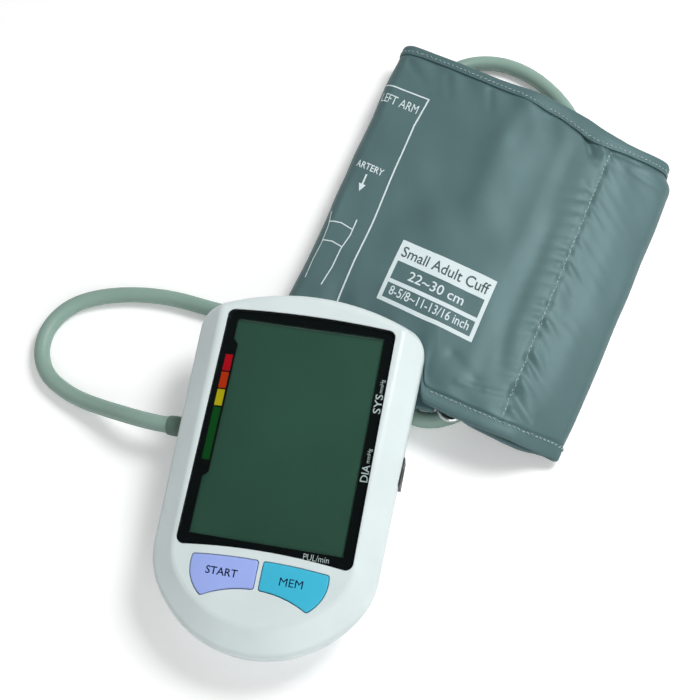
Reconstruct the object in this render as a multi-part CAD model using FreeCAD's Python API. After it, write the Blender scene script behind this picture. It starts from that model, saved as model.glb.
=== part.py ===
import FreeCAD
import Part
import math
import os

# Upper-arm blood pressure monitor with its cuff and air hose. All sizes are in millimetres.
# The monitor is laid out about its own datum: X to its right, Y to its rear edge, Z up from
# the table, with the datum under the middle of the display. The rear is higher than the front.

# --- display -----------------------------------------------------------------------------
LCD_VIEW_WIDTH = 61.8
LCD_VIEW_LENGTH = 91.8
BORDER_SIDE = 4.3          # printed border beside, behind and before the visible display
BORDER_REAR = 2.8
BORDER_FRONT = 5.5
LENS_HALF_WIDTH = LCD_VIEW_WIDTH / 2 + BORDER_SIDE
LENS_REAR = LCD_VIEW_LENGTH / 2 + BORDER_REAR
LENS_FRONT = -LCD_VIEW_LENGTH / 2 - BORDER_FRONT
LENS_REAR_BOW = 1.6
LENS_FRONT_BOW = 2.5
LENS_CORNER = 3.0
LENS_THICKNESS = 1.4
LENS_SETBACK = 0.2
LENS_GAP = 0.15
MASK_THICKNESS = 0.3
LEDGE_THICKNESS = 1.2      # floor that the lens is glued to
LCD_MARGIN = 2.4
LCD_THICKNESS = 2.8
NOTCH_DEPTH = 2.1          # step in the printed border beside the level marks
NOTCH_REAR = 34.4
NOTCH_FRONT = -20.7
FRAME_WALL = 1.6
FRAME_LIP = 1.0
STRIP_WIDTH = 2.2

# --- casing ------------------------------------------------------------------------------
WALL = 2.0
FACE_TILT = 6.4            # slope of the face, degrees
FACE_HEIGHT = 36.0         # face above the table at the datum
CHAMFER_DROP = 6.5         # from the face down to the foot of the sloping flank, at the datum
FLANK_TILT = 5.4           # slope of the flank's foot and of the parting line, degrees
SKIRT = 5.0                # straight wall between the flank and the parting line
FACE_SIDE = 10.0           # casing beside, before and behind the lens
FACE_FRONT = 36.8
FACE_REAR = 13.8
HALF_WIDTH_FRONT = LENS_HALF_WIDTH + FACE_SIDE
HALF_WIDTH_REAR = HALF_WIDTH_FRONT + 2.2
FRONT_REACH = FACE_FRONT - LENS_FRONT
REAR_REACH = FACE_REAR + LENS_REAR
FRONT_CORNER = 31.0
REAR_CORNER = 12.0
REAR_BOW = 97.0 * (HALF_WIDTH_REAR / 47.4) ** 2    # radius of the rear edge
SIDE_FRONT_Y = LENS_FRONT + 1.4   # where the straight side meets the front corner
SIDE_REAR_Y = LENS_REAR - 8.7
PLATEAU_MARGIN = 9.0       # width of the sloping flank at the sides
PLATEAU_FRONT_MARGIN = 9.8
PLATEAU_REAR_MARGIN = 3.5
BASE_MARGIN = 10.0         # how far the rear cover tapers in towards the base
BASE_THICKNESS = 2.0
FACE_ROUND = 4.0           # rounding of the face's edge, the flank's foot and the base's edge
FLANK_ROUND = 3.0
BASE_ROUND = 3.0
FOOT_HEIGHT = 2.0
FOOT_RADIUS = 5.0
FOOT_RECESS = 0.6
FOOT_REAR_X = HALF_WIDTH_FRONT - 19.2
FOOT_FRONT_X = HALF_WIDTH_FRONT - 25.2
FOOT_REAR_Y = REAR_REACH - 20.5
FOOT_FRONT_Y = 26.2 - FRONT_REACH

# --- circuit board -----------------------------------------------------------------------
BOARD_DEPTH = 0.55 * FACE_HEIGHT - 10.3    # face to the top of the board
BOARD_THICKNESS = 1.6
BOARD_HALF_WIDTH = LCD_VIEW_WIDTH / 2 + 3.1
BOARD_NECK = BOARD_HALF_WIDTH - 7.0
BOARD_NOSE = 22.0
BOARD_REAR = LCD_VIEW_LENGTH / 2 - 15.9
BOARD_SHOULDER = LENS_FRONT + 2.9
BOARD_FRONT = LENS_FRONT - 23.1
BOARD_SCREW_RADIUS = 1.0
BOARD_SCREW_HEAD = 2.0
BOARD_SCREW_X = LCD_VIEW_WIDTH / 2 + 0.3
BOARD_SCREW_SPOTS = [(-BOARD_SCREW_X, BOARD_REAR - 4.0), (BOARD_SCREW_X, BOARD_REAR - 4.0),
                     (4.0 - BOARD_NOSE, BOARD_FRONT + 3.0),
                     (BOARD_NOSE - 4.0, BOARD_FRONT + 3.0)]
CHIP = (12.0, 12.0, 1.4)

# --- keys --------------------------------------------------------------------------------
KEY_SPLIT = 2.2            # gap between the two keys
KEY_GAP = 0.3
KEY_PROUD = 0.5
KEY_TRAVEL = 0.8
KEY_LIP = 1.2              # thickness of the rim that keeps a key in
KEY_LIP_REACH = 0.7
KEY_OUTER = LENS_HALF_WIDTH - 8.3
KEY_REAR_INNER = LENS_FRONT - 1.5
KEY_REAR_OUTER = LENS_FRONT - 2.8
KEY_TIP = (KEY_OUTER - 6.1, LENS_FRONT - 18.0)
KEY_FRONT_INNER = LENS_FRONT - 12.7
POST_RADIUS = 2.5
PAD_THICKNESS = 0.8
PAD_HALF_WIDTH = 20.0
PAD_HALF_LENGTH = 6.0
DOME_RADIUS = 4.0

# --- batteries ---------------------------------------------------------------------------
MOTOR_RADIUS = 0.2 * FACE_HEIGHT + 3.3     # the pump stands behind the batteries
CELL_RADIUS = 0.15 * FACE_HEIGHT + 1.85    # the cells fill the height below the board
CELL_LENGTH = 2 * HALF_WIDTH_FRONT - 39.9
CELL_COUNT = 4
CELL_PITCH = 2 * CELL_RADIUS + 0.5
CELL_CLEARANCE = 0.3
SPRING_LENGTH = 5.6
SPRING_RADIUS = 4.4
SPRING_TIP_RADIUS = 2.6
CONTACT_THICKNESS = 0.5
BAY_WALL = 1.6
DOOR_LAP = 0.8             # how far the door reaches under the walls of the bay
BAY_CEILING = 1.0
BAY_REAR = 0.8 * REAR_REACH - 4.5 - 2 * MOTOR_RADIUS    # before the pump
BAY_FRONT = BAY_REAR - CELL_COUNT * CELL_PITCH - 2 * CELL_CLEARANCE
DOOR_GAP = 0.3
DOOR_TAB = 2.2

# --- fasteners of the casing -------------------------------------------------------------
SCREW_RADIUS = 1.25
SCREW_LENGTH = 10.0
SCREW_HEAD_RADIUS = 2.5
SCREW_HEAD_HEIGHT = 1.8
SCREW_SEAT = 6.0           # wall of the rear boss that the screw clamps
BOSS_RADIUS = 3.4
SCREW_REAR = (HALF_WIDTH_REAR - 6.9, SIDE_REAR_Y - 2.0)
SCREW_FRONT = (HALF_WIDTH_FRONT - 13.7, SIDE_FRONT_Y - 7.0)
SCREW_SPOTS = [(-SCREW_REAR[0], SCREW_REAR[1]), SCREW_REAR,
               (-SCREW_FRONT[0], SCREW_FRONT[1]), SCREW_FRONT]

# --- pump, valve and air path ------------------------------------------------------------
PUMP_Y = BAY_REAR + MOTOR_RADIUS + 3.6
PUMP_Z = MOTOR_RADIUS + 6.5
MOTOR_LENGTH = 26.0
MOTOR_X = -24.0
HEAD_LENGTH = 20.0
HEAD_SIDE = 2 * MOTOR_RADIUS
CRANK_CAVITY_RADIUS = MOTOR_RADIUS - 2.5
CRANK_RADIUS = CRANK_CAVITY_RADIUS - 3.0
CRANK_OFFSET = 1.2
SHAFT_RADIUS = 1.0
SHAFT_CLEARANCE = 0.05
SLEEVE_WALL = 1.5
SLEEVE_LENGTH = 18.0
AIR_Y = BAY_FRONT - BAY_WALL - 5.8    # before the bay
AIR_Z = 10.0
AIR_PIPE_RADIUS = 2.5
AIR_TUBE_RADIUS = 2.0
TEE_RISE = 3.0
TEE_REACH = 20.0
VALVE_RADIUS = AIR_Z - FOOT_HEIGHT - BASE_THICKNESS - 0.6
VALVE_LENGTH = 15.0
PLUNGER_RADIUS = 1.5
PLUNGER_TRAVEL = 1.0
SENSOR = (8.0, 8.0, 3.6)
SENSOR_X = 13.0
SENSOR_Y = AIR_Y - 1.5
SENSOR_RISE = TEE_RISE + 1.4   # from the air pipe up to the sensor's nipple
BUZZER_RADIUS = 6.0
BUZZER_HEIGHT = 4.5

# --- sockets in the side walls -----------------------------------------------------------
SOCKET_Y = 3.0
SOCKET_Z = FACE_HEIGHT - 20.0
SOCKET_RADIUS = 5.0
SOCKET_FLANGE_X = 0.6 - HALF_WIDTH_FRONT   # outer face of the air socket
SOCKET_INNER_X = SOCKET_FLANGE_X + 11.6
PLUG_RADIUS = 2.6
PLUG_DEPTH = 9.0
PLUG_COLLAR_RADIUS = 4.0
PLUG_CLEARANCE = 0.05
SEAL_WIRE = 0.8
JACK_Y = -5.6
JACK_LENGTH = 12.0
JACK_HIGH = FACE_HEIGHT - 9.0
JACK_LOW = JACK_HIGH - 7.5
JACK_PROUD = 1.0
JACK_INNER_X = HALF_WIDTH_FRONT - 8.7
JACK_HOLE = 2.8
JACK_PIN = 0.65

# --- hose --------------------------------------------------------------------------------
HOSE_RADIUS = 3.5
HOSE_START_X = SOCKET_FLANGE_X - 6.0   # where the hose is pushed against the plug's collar
HOSE_Z = HOSE_RADIUS + 0.1
HOSE_FALL = (SOCKET_Z - HOSE_Z) / 12.4
# From the hose's start: along X, along Y, and above the hose's place on the table.
HOSE_DROP = [
    (-8.8, 0.0, 12.4), (-18.8, 1.6, 10.6), (-28.4, 4.0, 7.6), (-37.8, 6.6, 4.2),
    (-47.2, 9.2, 1.8), (-56.5, 12.6, 0.5),
]
# On the table, with Y from the casing's rear edge: behind it, past its corner with X from
# its side, and under the cuff.
HOSE_BEHIND = [
    (-118.4, -40.4), (-125.0, -29.1), (-125.0, -15.9), (-118.4, -4.6), (-107.1, 2.0),
    (-91.0, 6.1), (-72.4, 6.9), (-53.6, 3.9), (-34.4, 1.9), (-15.4, 2.9), (2.6, 5.1),
    (17.6, 4.9),
]
HOSE_CORNER = [
    (-17.0, -0.9), (-8.8, -11.5), (-2.8, -22.1), (5.5, -31.3),
]
HOSE_UNDER = [
    (64.8, -35.7), (78.0, -33.5), (88.0, -24.7), (92.6, -12.1), (94.0, 1.1), (95.6, 19.5),
    (98.4, 39.5), (101.8, 59.9), (104.2, 79.9), (104.0, 98.7), (100.4, 115.9), (93.6, 131.9),
    (83.0, 145.7), (69.6, 155.9), (54.8, 160.7), (40.4, 158.7), (29.6, 150.9), (23.7, 138.9),
]
HOSE_ROUTE = ([(HOSE_START_X + x, SOCKET_Y + y, HOSE_Z + HOSE_FALL * z)
               for x, y, z in HOSE_DROP]
              + [(x, REAR_REACH + y, HOSE_Z) for x, y in HOSE_BEHIND]
              + [(HALF_WIDTH_REAR + x, REAR_REACH + y, HOSE_Z) for x, y in HOSE_CORNER]
              + [(x, REAR_REACH + y, HOSE_Z) for x, y in HOSE_UNDER])
HOSE_END = (23.7, REAR_REACH + 126.6, HOSE_Z)

# --- cuff --------------------------------------------------------------------------------
# The closed cuff lies flat. Its section runs along the cuff's lower edge, and is drawn out
# along the slanting side folds.
CUFF_CORNER = (-23.0, REAR_REACH - 1.4)    # lower left corner
CUFF_YAW = -20.0               # direction of the lower edge, degrees from +X
CUFF_LEAN = 77.8               # direction of the side folds, degrees from +X
CUFF_WIDTH = 140.0
CUFF_LENGTH = 162.0            # along the side folds
CUFF_BEND = 114.0              # from here the cuff sags to the table on its right
ARM_GAP = 8.0
COVER_THICKNESS = 0.8
BLADDER_THICKNESS = 1.0
LINING_THICKNESS = 0.6
HEM_DEPTH = 6.5
HEM_EXTRA = 0.3
BLADDER_LEFT = 18.0
BLADDER_RIGHT = 104.0
BLADDER_END_MARGIN = 14.0
TAIL_Z = 7.3
TAIL_THICKNESS = 0.9
TAIL_LEFT = 32.0
PATCH_THICKNESS = 0.7
HOOK_LEFT = 34.0
HOOK_RIGHT = 62.0
LOOP_LEFT = 12.0
LOOP_RIGHT = 72.0
PATCH_LOW = 16.0
PATCH_HIGH = 104.0
CASING_CLEARANCE = 1.0
RING_WIRE = 1.2                # radius of the ring's wire
RING_U = 88.6
RING_WIDTH = 10.4              # between the centres of the two long bars
RING_LOW = -4.5
RING_HIGH = CUFF_LENGTH - 15.0
RING_GAP = 0.3
SEAM_LAP = 4.0             # fabric sewn down beside the ring
PORT_RADIUS = 9.0
PORT_FLANGE = 1.2
PORT_PIPE_RADIUS = 3.5

V = FreeCAD.Vector
X_AXIS, Y_AXIS, Z_AXIS = V(1, 0, 0), V(0, 1, 0), V(0, 0, 1)
SLOPE = math.tan(math.radians(FACE_TILT))
FLANK_SLOPE = math.tan(math.radians(FLANK_TILT))
FLANK_HEIGHT = FACE_HEIGHT - CHAMFER_DROP
PARTING_HEIGHT = FLANK_HEIGHT - SKIRT
BASE_Z = FOOT_HEIGHT
FLOOR_Z = BASE_Z + BASE_THICKNESS


# --- plain shapes ------------------------------------------------------------------------
def block(x0, x1, y0, y1, z0, z1):
    return Part.makeBox(x1 - x0, y1 - y0, z1 - z0, V(x0, y0, z0))


def rod(radius, start, end):
    along = V(*end) - V(*start)
    return Part.makeCylinder(radius, along.Length, V(*start), along)


def pipe(outer, inner, start, end):
    return rod(outer, start, end).cut(rod(inner, start, end))


def prism(points, z0, z1):
    """Upright prism on a polygon."""
    loop = [V(x, y, z0) for x, y in points]
    return Part.Face(Part.makePolygon(loop + loop[:1])).extrude(V(0, 0, z1 - z0))


def upright_edges(shape):
    return [e for e in shape.Edges
            if abs(e.Vertexes[0].X - e.Vertexes[-1].X) < 1e-6
            and abs(e.Vertexes[0].Y - e.Vertexes[-1].Y) < 1e-6 and e.Length > 0.05
            and len(e.Vertexes) == 2]


def union(shapes):
    whole = shapes[0].multiFuse(shapes[1:]) if len(shapes) > 1 else shapes[0]
    return whole.removeSplitter()


def group(shapes):
    return Part.makeCompound(shapes)


def parting_z(y):
    return PARTING_HEIGHT + FLANK_SLOPE * y


def tilted(shape, degrees, height):
    moved = shape.copy()
    moved.rotate(V(0, 0, 0), X_AXIS, degrees)
    moved.translate(V(0, 0, height))
    return moved


def on_face(shape):
    """From face coordinates, with z = 0 on the face and +z out of it, to the monitor's."""
    return tilted(shape, FACE_TILT, FACE_HEIGHT)


def arc(a, b, c):
    return Part.Arc(a, b, c).toShape()


# --- casing outline ----------------------------------------------------------------------
def outline(side, front, rear):
    """Closed outline of the casing, moved in by the given amounts at its sides and ends."""
    half_front, half_rear = HALF_WIDTH_FRONT - side, HALF_WIDTH_REAR - side
    front_y, rear_y = -FRONT_REACH + front, REAR_REACH - rear
    corner, rear_corner = FRONT_CORNER - side, max(REAR_CORNER - side, 3.0)
    start = V(half_front, SIDE_FRONT_Y, 0)
    along = V(half_rear - half_front, SIDE_REAR_Y - SIDE_FRONT_Y, 0).normalize()
    inward = V(-along.y, along.x, 0)
    front_centre = start + inward * corner
    depth = front_centre.y - front_y
    big = (front_centre.x ** 2 + depth ** 2 - corner ** 2) / (2 * (depth - corner))
    nose_centre = V(0, front_y + big, 0)
    front_meet = nose_centre + (front_centre - nose_centre).normalize() * big
    turn = (start - front_centre).normalize() + (front_meet - front_centre).normalize()
    front_mid = front_centre + turn.normalize() * corner
    # The rear corner touches the side line and the bowed rear edge.
    bow_centre = V(0, rear_y - REAR_BOW, 0)
    foot = start + inward * rear_corner - bow_centre
    reach = REAR_BOW - rear_corner
    b_half = foot.dot(along)
    length = -b_half + math.sqrt(b_half ** 2 - foot.dot(foot) + reach ** 2)
    rear_centre = bow_centre + foot + along * length
    side_end = rear_centre - inward * rear_corner
    rear_meet = bow_centre + (rear_centre - bow_centre).normalize() * REAR_BOW
    turn = (side_end - rear_centre).normalize() + (rear_meet - rear_centre).normalize()
    rear_mid = rear_centre + turn.normalize() * rear_corner
    right = [arc(front_meet, front_mid, start),
             Part.LineSegment(start, side_end).toShape(),
             arc(side_end, rear_mid, rear_meet)]
    flip = FreeCAD.Matrix(-1, 0, 0, 0, 0, 1, 0, 0, 0, 0, 1, 0, 0, 0, 0, 1)
    left = [edge.transformGeometry(flip) for edge in right]
    mirrored = [
        arc(V(-rear_meet.x, rear_meet.y, 0), V(-rear_mid.x, rear_mid.y, 0),
            V(-side_end.x, side_end.y, 0)),
        Part.LineSegment(V(-side_end.x, side_end.y, 0), V(-start.x, start.y, 0)).toShape(),
        arc(V(-start.x, start.y, 0), V(-front_mid.x, front_mid.y, 0),
            V(-front_meet.x, front_meet.y, 0))]
    rear = arc(rear_meet, V(0, rear_y, 0), V(-rear_meet.x, rear_meet.y, 0))
    nose = arc(V(-front_meet.x, front_meet.y, 0), V(0, front_y, 0), front_meet)
    return Part.Wire(right + [rear] + mirrored + [nose])


def solid_between(lower, upper):
    return Part.makeLoft([lower, upper], True, True)


def skirt_solid(inset, down):
    wire = tilted(outline(inset, inset, inset), FLANK_TILT, FLANK_HEIGHT)
    return Part.Face(wire).extrude(V(0, 0, -down))


def cover_solid(inset, lowered):
    """Everything inside the front cover's outside, or inside its inner surface."""
    foot = tilted(outline(inset, inset, inset), FLANK_TILT, FLANK_HEIGHT)
    top = outline(PLATEAU_MARGIN + inset, PLATEAU_FRONT_MARGIN + inset,
                  PLATEAU_REAR_MARGIN + inset)
    top.translate(V(0, 0, -lowered))
    return union([solid_between(foot, on_face(top)), skirt_solid(inset, SKIRT)])


def edges_on(shape, height, slope):
    """Edges whose ends all lie on a plane that rises to the rear."""
    return [e for e in shape.Edges
            if all(abs(v.Z - height - slope * v.Y) < 1e-3 for v in e.Vertexes)]


def rounded_cover():
    cover = cover_solid(0, 0)
    cover = cover.makeFillet(FACE_ROUND, edges_on(cover, FACE_HEIGHT, SLOPE))
    return cover.makeFillet(FLANK_ROUND, edges_on(cover, FLANK_HEIGHT, FLANK_SLOPE))


def rounded_rear():
    rear = rear_solid(0, BASE_Z)
    return rear.makeFillet(BASE_ROUND, edges_on(rear, BASE_Z, 0))


def rear_solid(inset, floor):
    lower = outline(BASE_MARGIN + inset, BASE_MARGIN + 1 + inset, BASE_MARGIN + inset)
    lower.translate(V(0, 0, floor))
    upper = tilted(outline(inset, inset, inset), FLANK_TILT, PARTING_HEIGHT)
    return solid_between(lower, upper)


# --- window and keys, in face coordinates ------------------------------------------------
def bowed_plate(half, front, rear, front_bow, rear_bow, corner, z0, z1):
    a, b = V(-half, front, z0), V(half, front, z0)
    c, d = V(half, rear, z0), V(-half, rear, z0)
    sides = [arc(a, V(0, front + front_bow, z0), b), Part.LineSegment(b, c).toShape(),
             arc(c, V(0, rear + rear_bow, z0), d), Part.LineSegment(d, a).toShape()]
    plate = Part.Face(Part.Wire(sides)).extrude(V(0, 0, z1 - z0))
    return plate.makeFillet(corner, upright_edges(plate))


def lens_plate(grow, z0, z1):
    return bowed_plate(LENS_HALF_WIDTH + grow, LENS_FRONT - grow, LENS_REAR + grow,
                       LENS_FRONT_BOW, LENS_REAR_BOW, LENS_CORNER + grow, z0, z1)


def key_plate(grow, z0, z1, side):
    """Wing-shaped key outline. side is 1 for the right key and -1 for the left one."""
    inner = KEY_SPLIT / 2 - grow
    outer = KEY_OUTER + grow
    tip = V(side * (KEY_TIP[0] + 0.5 * grow), KEY_TIP[1] - 1.1 * grow, z0)
    a = V(side * inner, KEY_FRONT_INNER - grow, z0)
    b = V(side * inner, KEY_REAR_INNER + grow, z0)
    c = V(side * outer, KEY_REAR_OUTER + grow, z0)
    belly = V(side * (outer - 0.4), (KEY_REAR_OUTER + KEY_TIP[1]) / 2, z0)
    dip = V(side * (KEY_TIP[0] + inner) / 2, KEY_FRONT_INNER - 1.3 - grow, z0)
    crest = V(side * (outer + inner) / 2, (b.y + c.y) / 2 + 0.4, z0)
    edges = [Part.LineSegment(a, b).toShape(), arc(b, crest, c), arc(c, belly, tip),
             arc(tip, dip, a)]
    plate = Part.Face(Part.Wire(edges)).extrude(V(0, 0, z1 - z0))
    return plate.makeFillet(1.0 + grow / 2, upright_edges(plate))


# --- casing ------------------------------------------------------------------------------
def jack_notch(grow):
    half = JACK_LENGTH / 2 + grow
    return block(JACK_INNER_X, HALF_WIDTH_REAR + 5, JACK_Y - half, JACK_Y + half,
                 JACK_LOW - grow, JACK_HIGH + grow)


def boss_column(x, y, low, high, radius):
    """Round post whose seam line faces the middle of the casing."""
    column = rod(radius, (x, y, low), (x, y, high))
    column.rotate(V(x, y, 0), Z_AXIS, math.degrees(math.atan2(-y, -x)))
    return column


def front_cover():
    """Rounded shell. What stands inside it is left out of the hollow that is cut from it."""
    ledge_low = -(LENS_SETBACK + LENS_THICKNESS + MASK_THICKNESS + LEDGE_THICKNESS)
    ledge = on_face(lens_plate(1.4, ledge_low, -1.0))
    bosses = [boss_column(x, y, parting_z(y), FACE_HEIGHT + 20, BOSS_RADIUS)
              for x, y in SCREW_SPOTS]
    posts = [on_face(rod(BOARD_SCREW_HEAD + 0.6, (x, y, -BOARD_DEPTH), (x, y, -1.0)))
             for x, y in BOARD_SCREW_SPOTS if y < LENS_FRONT]
    shell = rounded_cover().cut(cover_solid(WALL, WALL).cut([ledge] + bosses + posts))
    recess = on_face(lens_plate(LENS_GAP, ledge_low + LEDGE_THICKNESS, 1.0))
    half, long = LCD_VIEW_WIDTH / 2 + 1.2, LCD_VIEW_LENGTH / 2 + 1.2
    window = on_face(block(-half, half, -long, long, ledge_low - 1, 0))
    keys = [on_face(key_plate(KEY_GAP, -WALL - 1, 1, side)) for side in (-1, 1)]
    pilots = [rod(SCREW_RADIUS, (x, y, parting_z(y) - 1),
                  (x, y, parting_z(y) - SCREW_SEAT + SCREW_LENGTH + 0.6))
              for x, y in SCREW_SPOTS]
    holes = [on_face(rod(BOARD_SCREW_RADIUS, (x, y, -BOARD_DEPTH - 1), (x, y, -3.6)))
             for x, y in BOARD_SCREW_SPOTS if y < LENS_FRONT]
    return shell.cut([recess, window, jack_notch(DOOR_GAP)] + keys + pilots + holes)


def bay_limits():
    half = CELL_LENGTH / 2 + SPRING_LENGTH / 2 + CONTACT_THICKNESS
    ceiling = FLOOR_Z + 2 * CELL_RADIUS + 2 * CELL_CLEARANCE
    return half, BAY_FRONT, ceiling


def door_limits(gap):
    half, front, _ = bay_limits()
    return half + DOOR_LAP - gap, front - DOOR_LAP + gap, BAY_REAR + DOOR_LAP - gap


def rear_cover():
    """Rounded shell. What stands inside it is left out of the hollow that is cut from it."""
    half, front, ceiling = bay_limits()
    bay = block(-half - BAY_WALL, half + BAY_WALL, front - BAY_WALL, BAY_REAR + BAY_WALL,
                FLOOR_Z, ceiling + BAY_CEILING)
    bay = bay.cut(block(-half, half, front, BAY_REAR, FLOOR_Z, ceiling))
    bosses = [boss_column(x, y, 0, parting_z(y), BOSS_RADIUS) for x, y in SCREW_SPOTS]
    saddle_x = MOTOR_X + 4
    saddles = []
    for x in (saddle_x, saddle_x + SLEEVE_LENGTH - 6):
        rib = block(x, x + 2, PUMP_Y - 10, PUMP_Y + 10, FLOOR_Z - 0.5, FLOOR_Z + 5)
        saddles.append(rib.cut(rod(MOTOR_RADIUS + SLEEVE_WALL, (x - 1, PUMP_Y, PUMP_Z),
                                   (x + 3, PUMP_Y, PUMP_Z))))
    head_x = MOTOR_X + MOTOR_LENGTH
    saddles.append(block(head_x + 4, head_x + 16, PUMP_Y - 8, PUMP_Y + 8, FLOOR_Z - 0.5,
                         PUMP_Z - HEAD_SIDE / 2))
    valve_y = AIR_Y - AIR_PIPE_RADIUS - 2
    valve_rest = block(-3, 3, valve_y - 11, valve_y - 4, FLOOR_Z - 0.5, AIR_Z - VALVE_RADIUS)
    hollow = rear_solid(WALL, FLOOR_Z).cut([bay, valve_rest] + bosses + saddles)
    shell = rounded_rear().cut(hollow)
    door_half, door_front, door_rear = door_limits(0)
    lip = DOOR_LAP
    opening = block(-door_half + lip, door_half - lip, door_front + lip, door_rear - lip,
                    BASE_Z - 1, FLOOR_Z + 1)
    seat = block(-door_half, door_half, door_front, door_rear, BASE_Z - 1, FLOOR_Z)
    tabs = [block(x - 3.3, x + 3.3, door_rear - lip - 0.1, door_rear + DOOR_TAB + 0.4, FLOOR_Z,
                  FLOOR_Z + 4.2) for x in (-18, 18)]
    feet = [rod(FOOT_RADIUS, (x, y, BASE_Z - 1), (x, y, BASE_Z + FOOT_RECESS))
            for x, y in foot_spots()]
    drills = []
    for x, y in SCREW_SPOTS:
        seat_z = parting_z(y) - SCREW_SEAT
        drills.append(rod(SCREW_RADIUS + 0.15, (x, y, BASE_Z - 1), (x, y, parting_z(y) + 3)))
        drills.append(rod(SCREW_HEAD_RADIUS + 0.4, (x, y, BASE_Z - 1), (x, y, seat_z)))
    socket = rod(SOCKET_RADIUS, (-70, SOCKET_Y, SOCKET_Z), (SOCKET_INNER_X, SOCKET_Y, SOCKET_Z))
    return shell.cut([opening, seat, socket, jack_notch(DOOR_GAP)] + tabs + feet + drills)


def foot_spots():
    return [(side * x, y) for x, y in ((FOOT_REAR_X, FOOT_REAR_Y), (FOOT_FRONT_X, FOOT_FRONT_Y))
            for side in (-1, 1)]


def rubber_feet():
    return group([rod(FOOT_RADIUS, (x, y, 0), (x, y, BASE_Z + FOOT_RECESS))
                  for x, y in foot_spots()])


def battery_door():
    half, front, rear = door_limits(DOOR_GAP)
    door = block(-half, half, front, rear, BASE_Z, FLOOR_Z)
    tabs = []
    for x in (-18, 18):
        tabs.append(block(x - 3, x + 3, rear - 1.5, rear + DOOR_TAB, FLOOR_Z + 0.1,
                          FLOOR_Z + 1.2))
        tabs.append(block(x - 3, x + 3, rear - 1.5, rear - 0.3, FLOOR_Z - 0.5, FLOOR_Z + 0.5))
    slots = [block(x - 0.5, x + 0.5, front - 1, front + 9, BASE_Z - 1, FLOOR_Z + 1)
             for x in (-7, 7)]
    grip = [block(-5, 5, front + y, front + y + 0.8, BASE_Z - 0.1, BASE_Z + 0.5)
            for y in (2, 4, 6)]
    return union([door] + tabs).cut(slots + grip)


def case_screws():
    screws = []
    for x, y in SCREW_SPOTS:
        seat = parting_z(y) - SCREW_SEAT
        head = rod(SCREW_HEAD_RADIUS, (x, y, seat - SCREW_HEAD_HEIGHT), (x, y, seat))
        shank = rod(SCREW_RADIUS, (x, y, seat), (x, y, seat + SCREW_LENGTH))
        low = seat - SCREW_HEAD_HEIGHT
        cross = [block(x - 1.4, x + 1.4, y - 0.3, y + 0.3, low - 1, low + 1),
                 block(x - 0.3, x + 0.3, y - 1.4, y + 1.4, low - 1, low + 1)]
        screws.append(union([head, shank]).cut(cross))
    return group(screws)


# --- display -----------------------------------------------------------------------------
def display_lens():
    top = -LENS_SETBACK
    return on_face(lens_plate(0, top - LENS_THICKNESS, top))


def lens_mask():
    """Black printed border under the lens, with the step beside the level marks."""
    high = -LENS_SETBACK - LENS_THICKNESS
    low = high - MASK_THICKNESS
    half, long = LCD_VIEW_WIDTH / 2, LCD_VIEW_LENGTH / 2
    left = -half + NOTCH_DEPTH
    view = prism([(-half, -long), (half, -long), (half, long), (-half, long),
                  (-half, NOTCH_REAR + NOTCH_DEPTH), (left, NOTCH_REAR),
                  (left, NOTCH_FRONT), (-half, NOTCH_FRONT - NOTCH_DEPTH)], low - 1, high + 1)
    return on_face(lens_plate(0, low, high).cut(view))


def ledge_depth():
    return LENS_SETBACK + LENS_THICKNESS + MASK_THICKNESS + LEDGE_THICKNESS


def lcd_box(grow, z0, z1):
    half = LCD_VIEW_WIDTH / 2 + LCD_MARGIN + grow
    long = LCD_VIEW_LENGTH / 2 + LCD_MARGIN + grow
    return block(-half, half, -long, long, z0, z1)


def lcd_panel():
    top = -ledge_depth()
    return on_face(lcd_box(0, top - LCD_THICKNESS, top))


def strip_box(grow):
    front = -LCD_VIEW_LENGTH / 2 - LCD_MARGIN
    half = LCD_VIEW_WIDTH / 2 - 2
    return block(-half - grow, half + grow, front - grow, front + STRIP_WIDTH + grow,
                 -BOARD_DEPTH, -ledge_depth() - LCD_THICKNESS)


def lcd_frame():
    top = -ledge_depth()
    body = lcd_box(FRAME_WALL, -BOARD_DEPTH, top)
    pocket = lcd_box(0.1, top - LCD_THICKNESS, top)
    half = LCD_VIEW_WIDTH / 2 + LCD_MARGIN - FRAME_LIP
    long = LCD_VIEW_LENGTH / 2 + LCD_MARGIN - FRAME_LIP
    light = block(-half, half, -long, long, -BOARD_DEPTH - 1, top)
    posts = [rod(2.4, (x, y, -BOARD_DEPTH), (x, y, top - LCD_THICKNESS))
             for x, y in BOARD_SCREW_SPOTS if y > 0]
    holes = [rod(BOARD_SCREW_RADIUS, (x, y, -BOARD_DEPTH - 1), (x, y, top - LCD_THICKNESS))
             for x, y in BOARD_SCREW_SPOTS if y > 0]
    frame = union([body.cut([pocket, light])] + posts)
    return on_face(frame.cut(holes + [strip_box(0.1)]))


def contact_strip():
    return on_face(strip_box(0))


# --- board -------------------------------------------------------------------------------
def main_board():
    right = [(BOARD_NOSE, BOARD_FRONT), (BOARD_NECK, BOARD_SHOULDER - 3),
             (BOARD_HALF_WIDTH, BOARD_SHOULDER + 3), (BOARD_HALF_WIDTH, BOARD_REAR)]
    left = [(-x, y) for x, y in reversed(right)]
    low = -BOARD_DEPTH - BOARD_THICKNESS
    board = prism(right + left, low, -BOARD_DEPTH)
    holes = [rod(BOARD_SCREW_RADIUS, (x, y, low - 1), (x, y, 0)) for x, y in BOARD_SCREW_SPOTS]
    return on_face(board.cut(holes))


def board_screws():
    low = -BOARD_DEPTH - BOARD_THICKNESS
    screws = [union([rod(BOARD_SCREW_HEAD, (x, y, low - 1.2), (x, y, low)),
                     rod(BOARD_SCREW_RADIUS, (x, y, low),
                         (x, y, -ledge_depth() - LCD_THICKNESS - 1.0))])
              for x, y in BOARD_SCREW_SPOTS]
    return on_face(group(screws))


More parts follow.
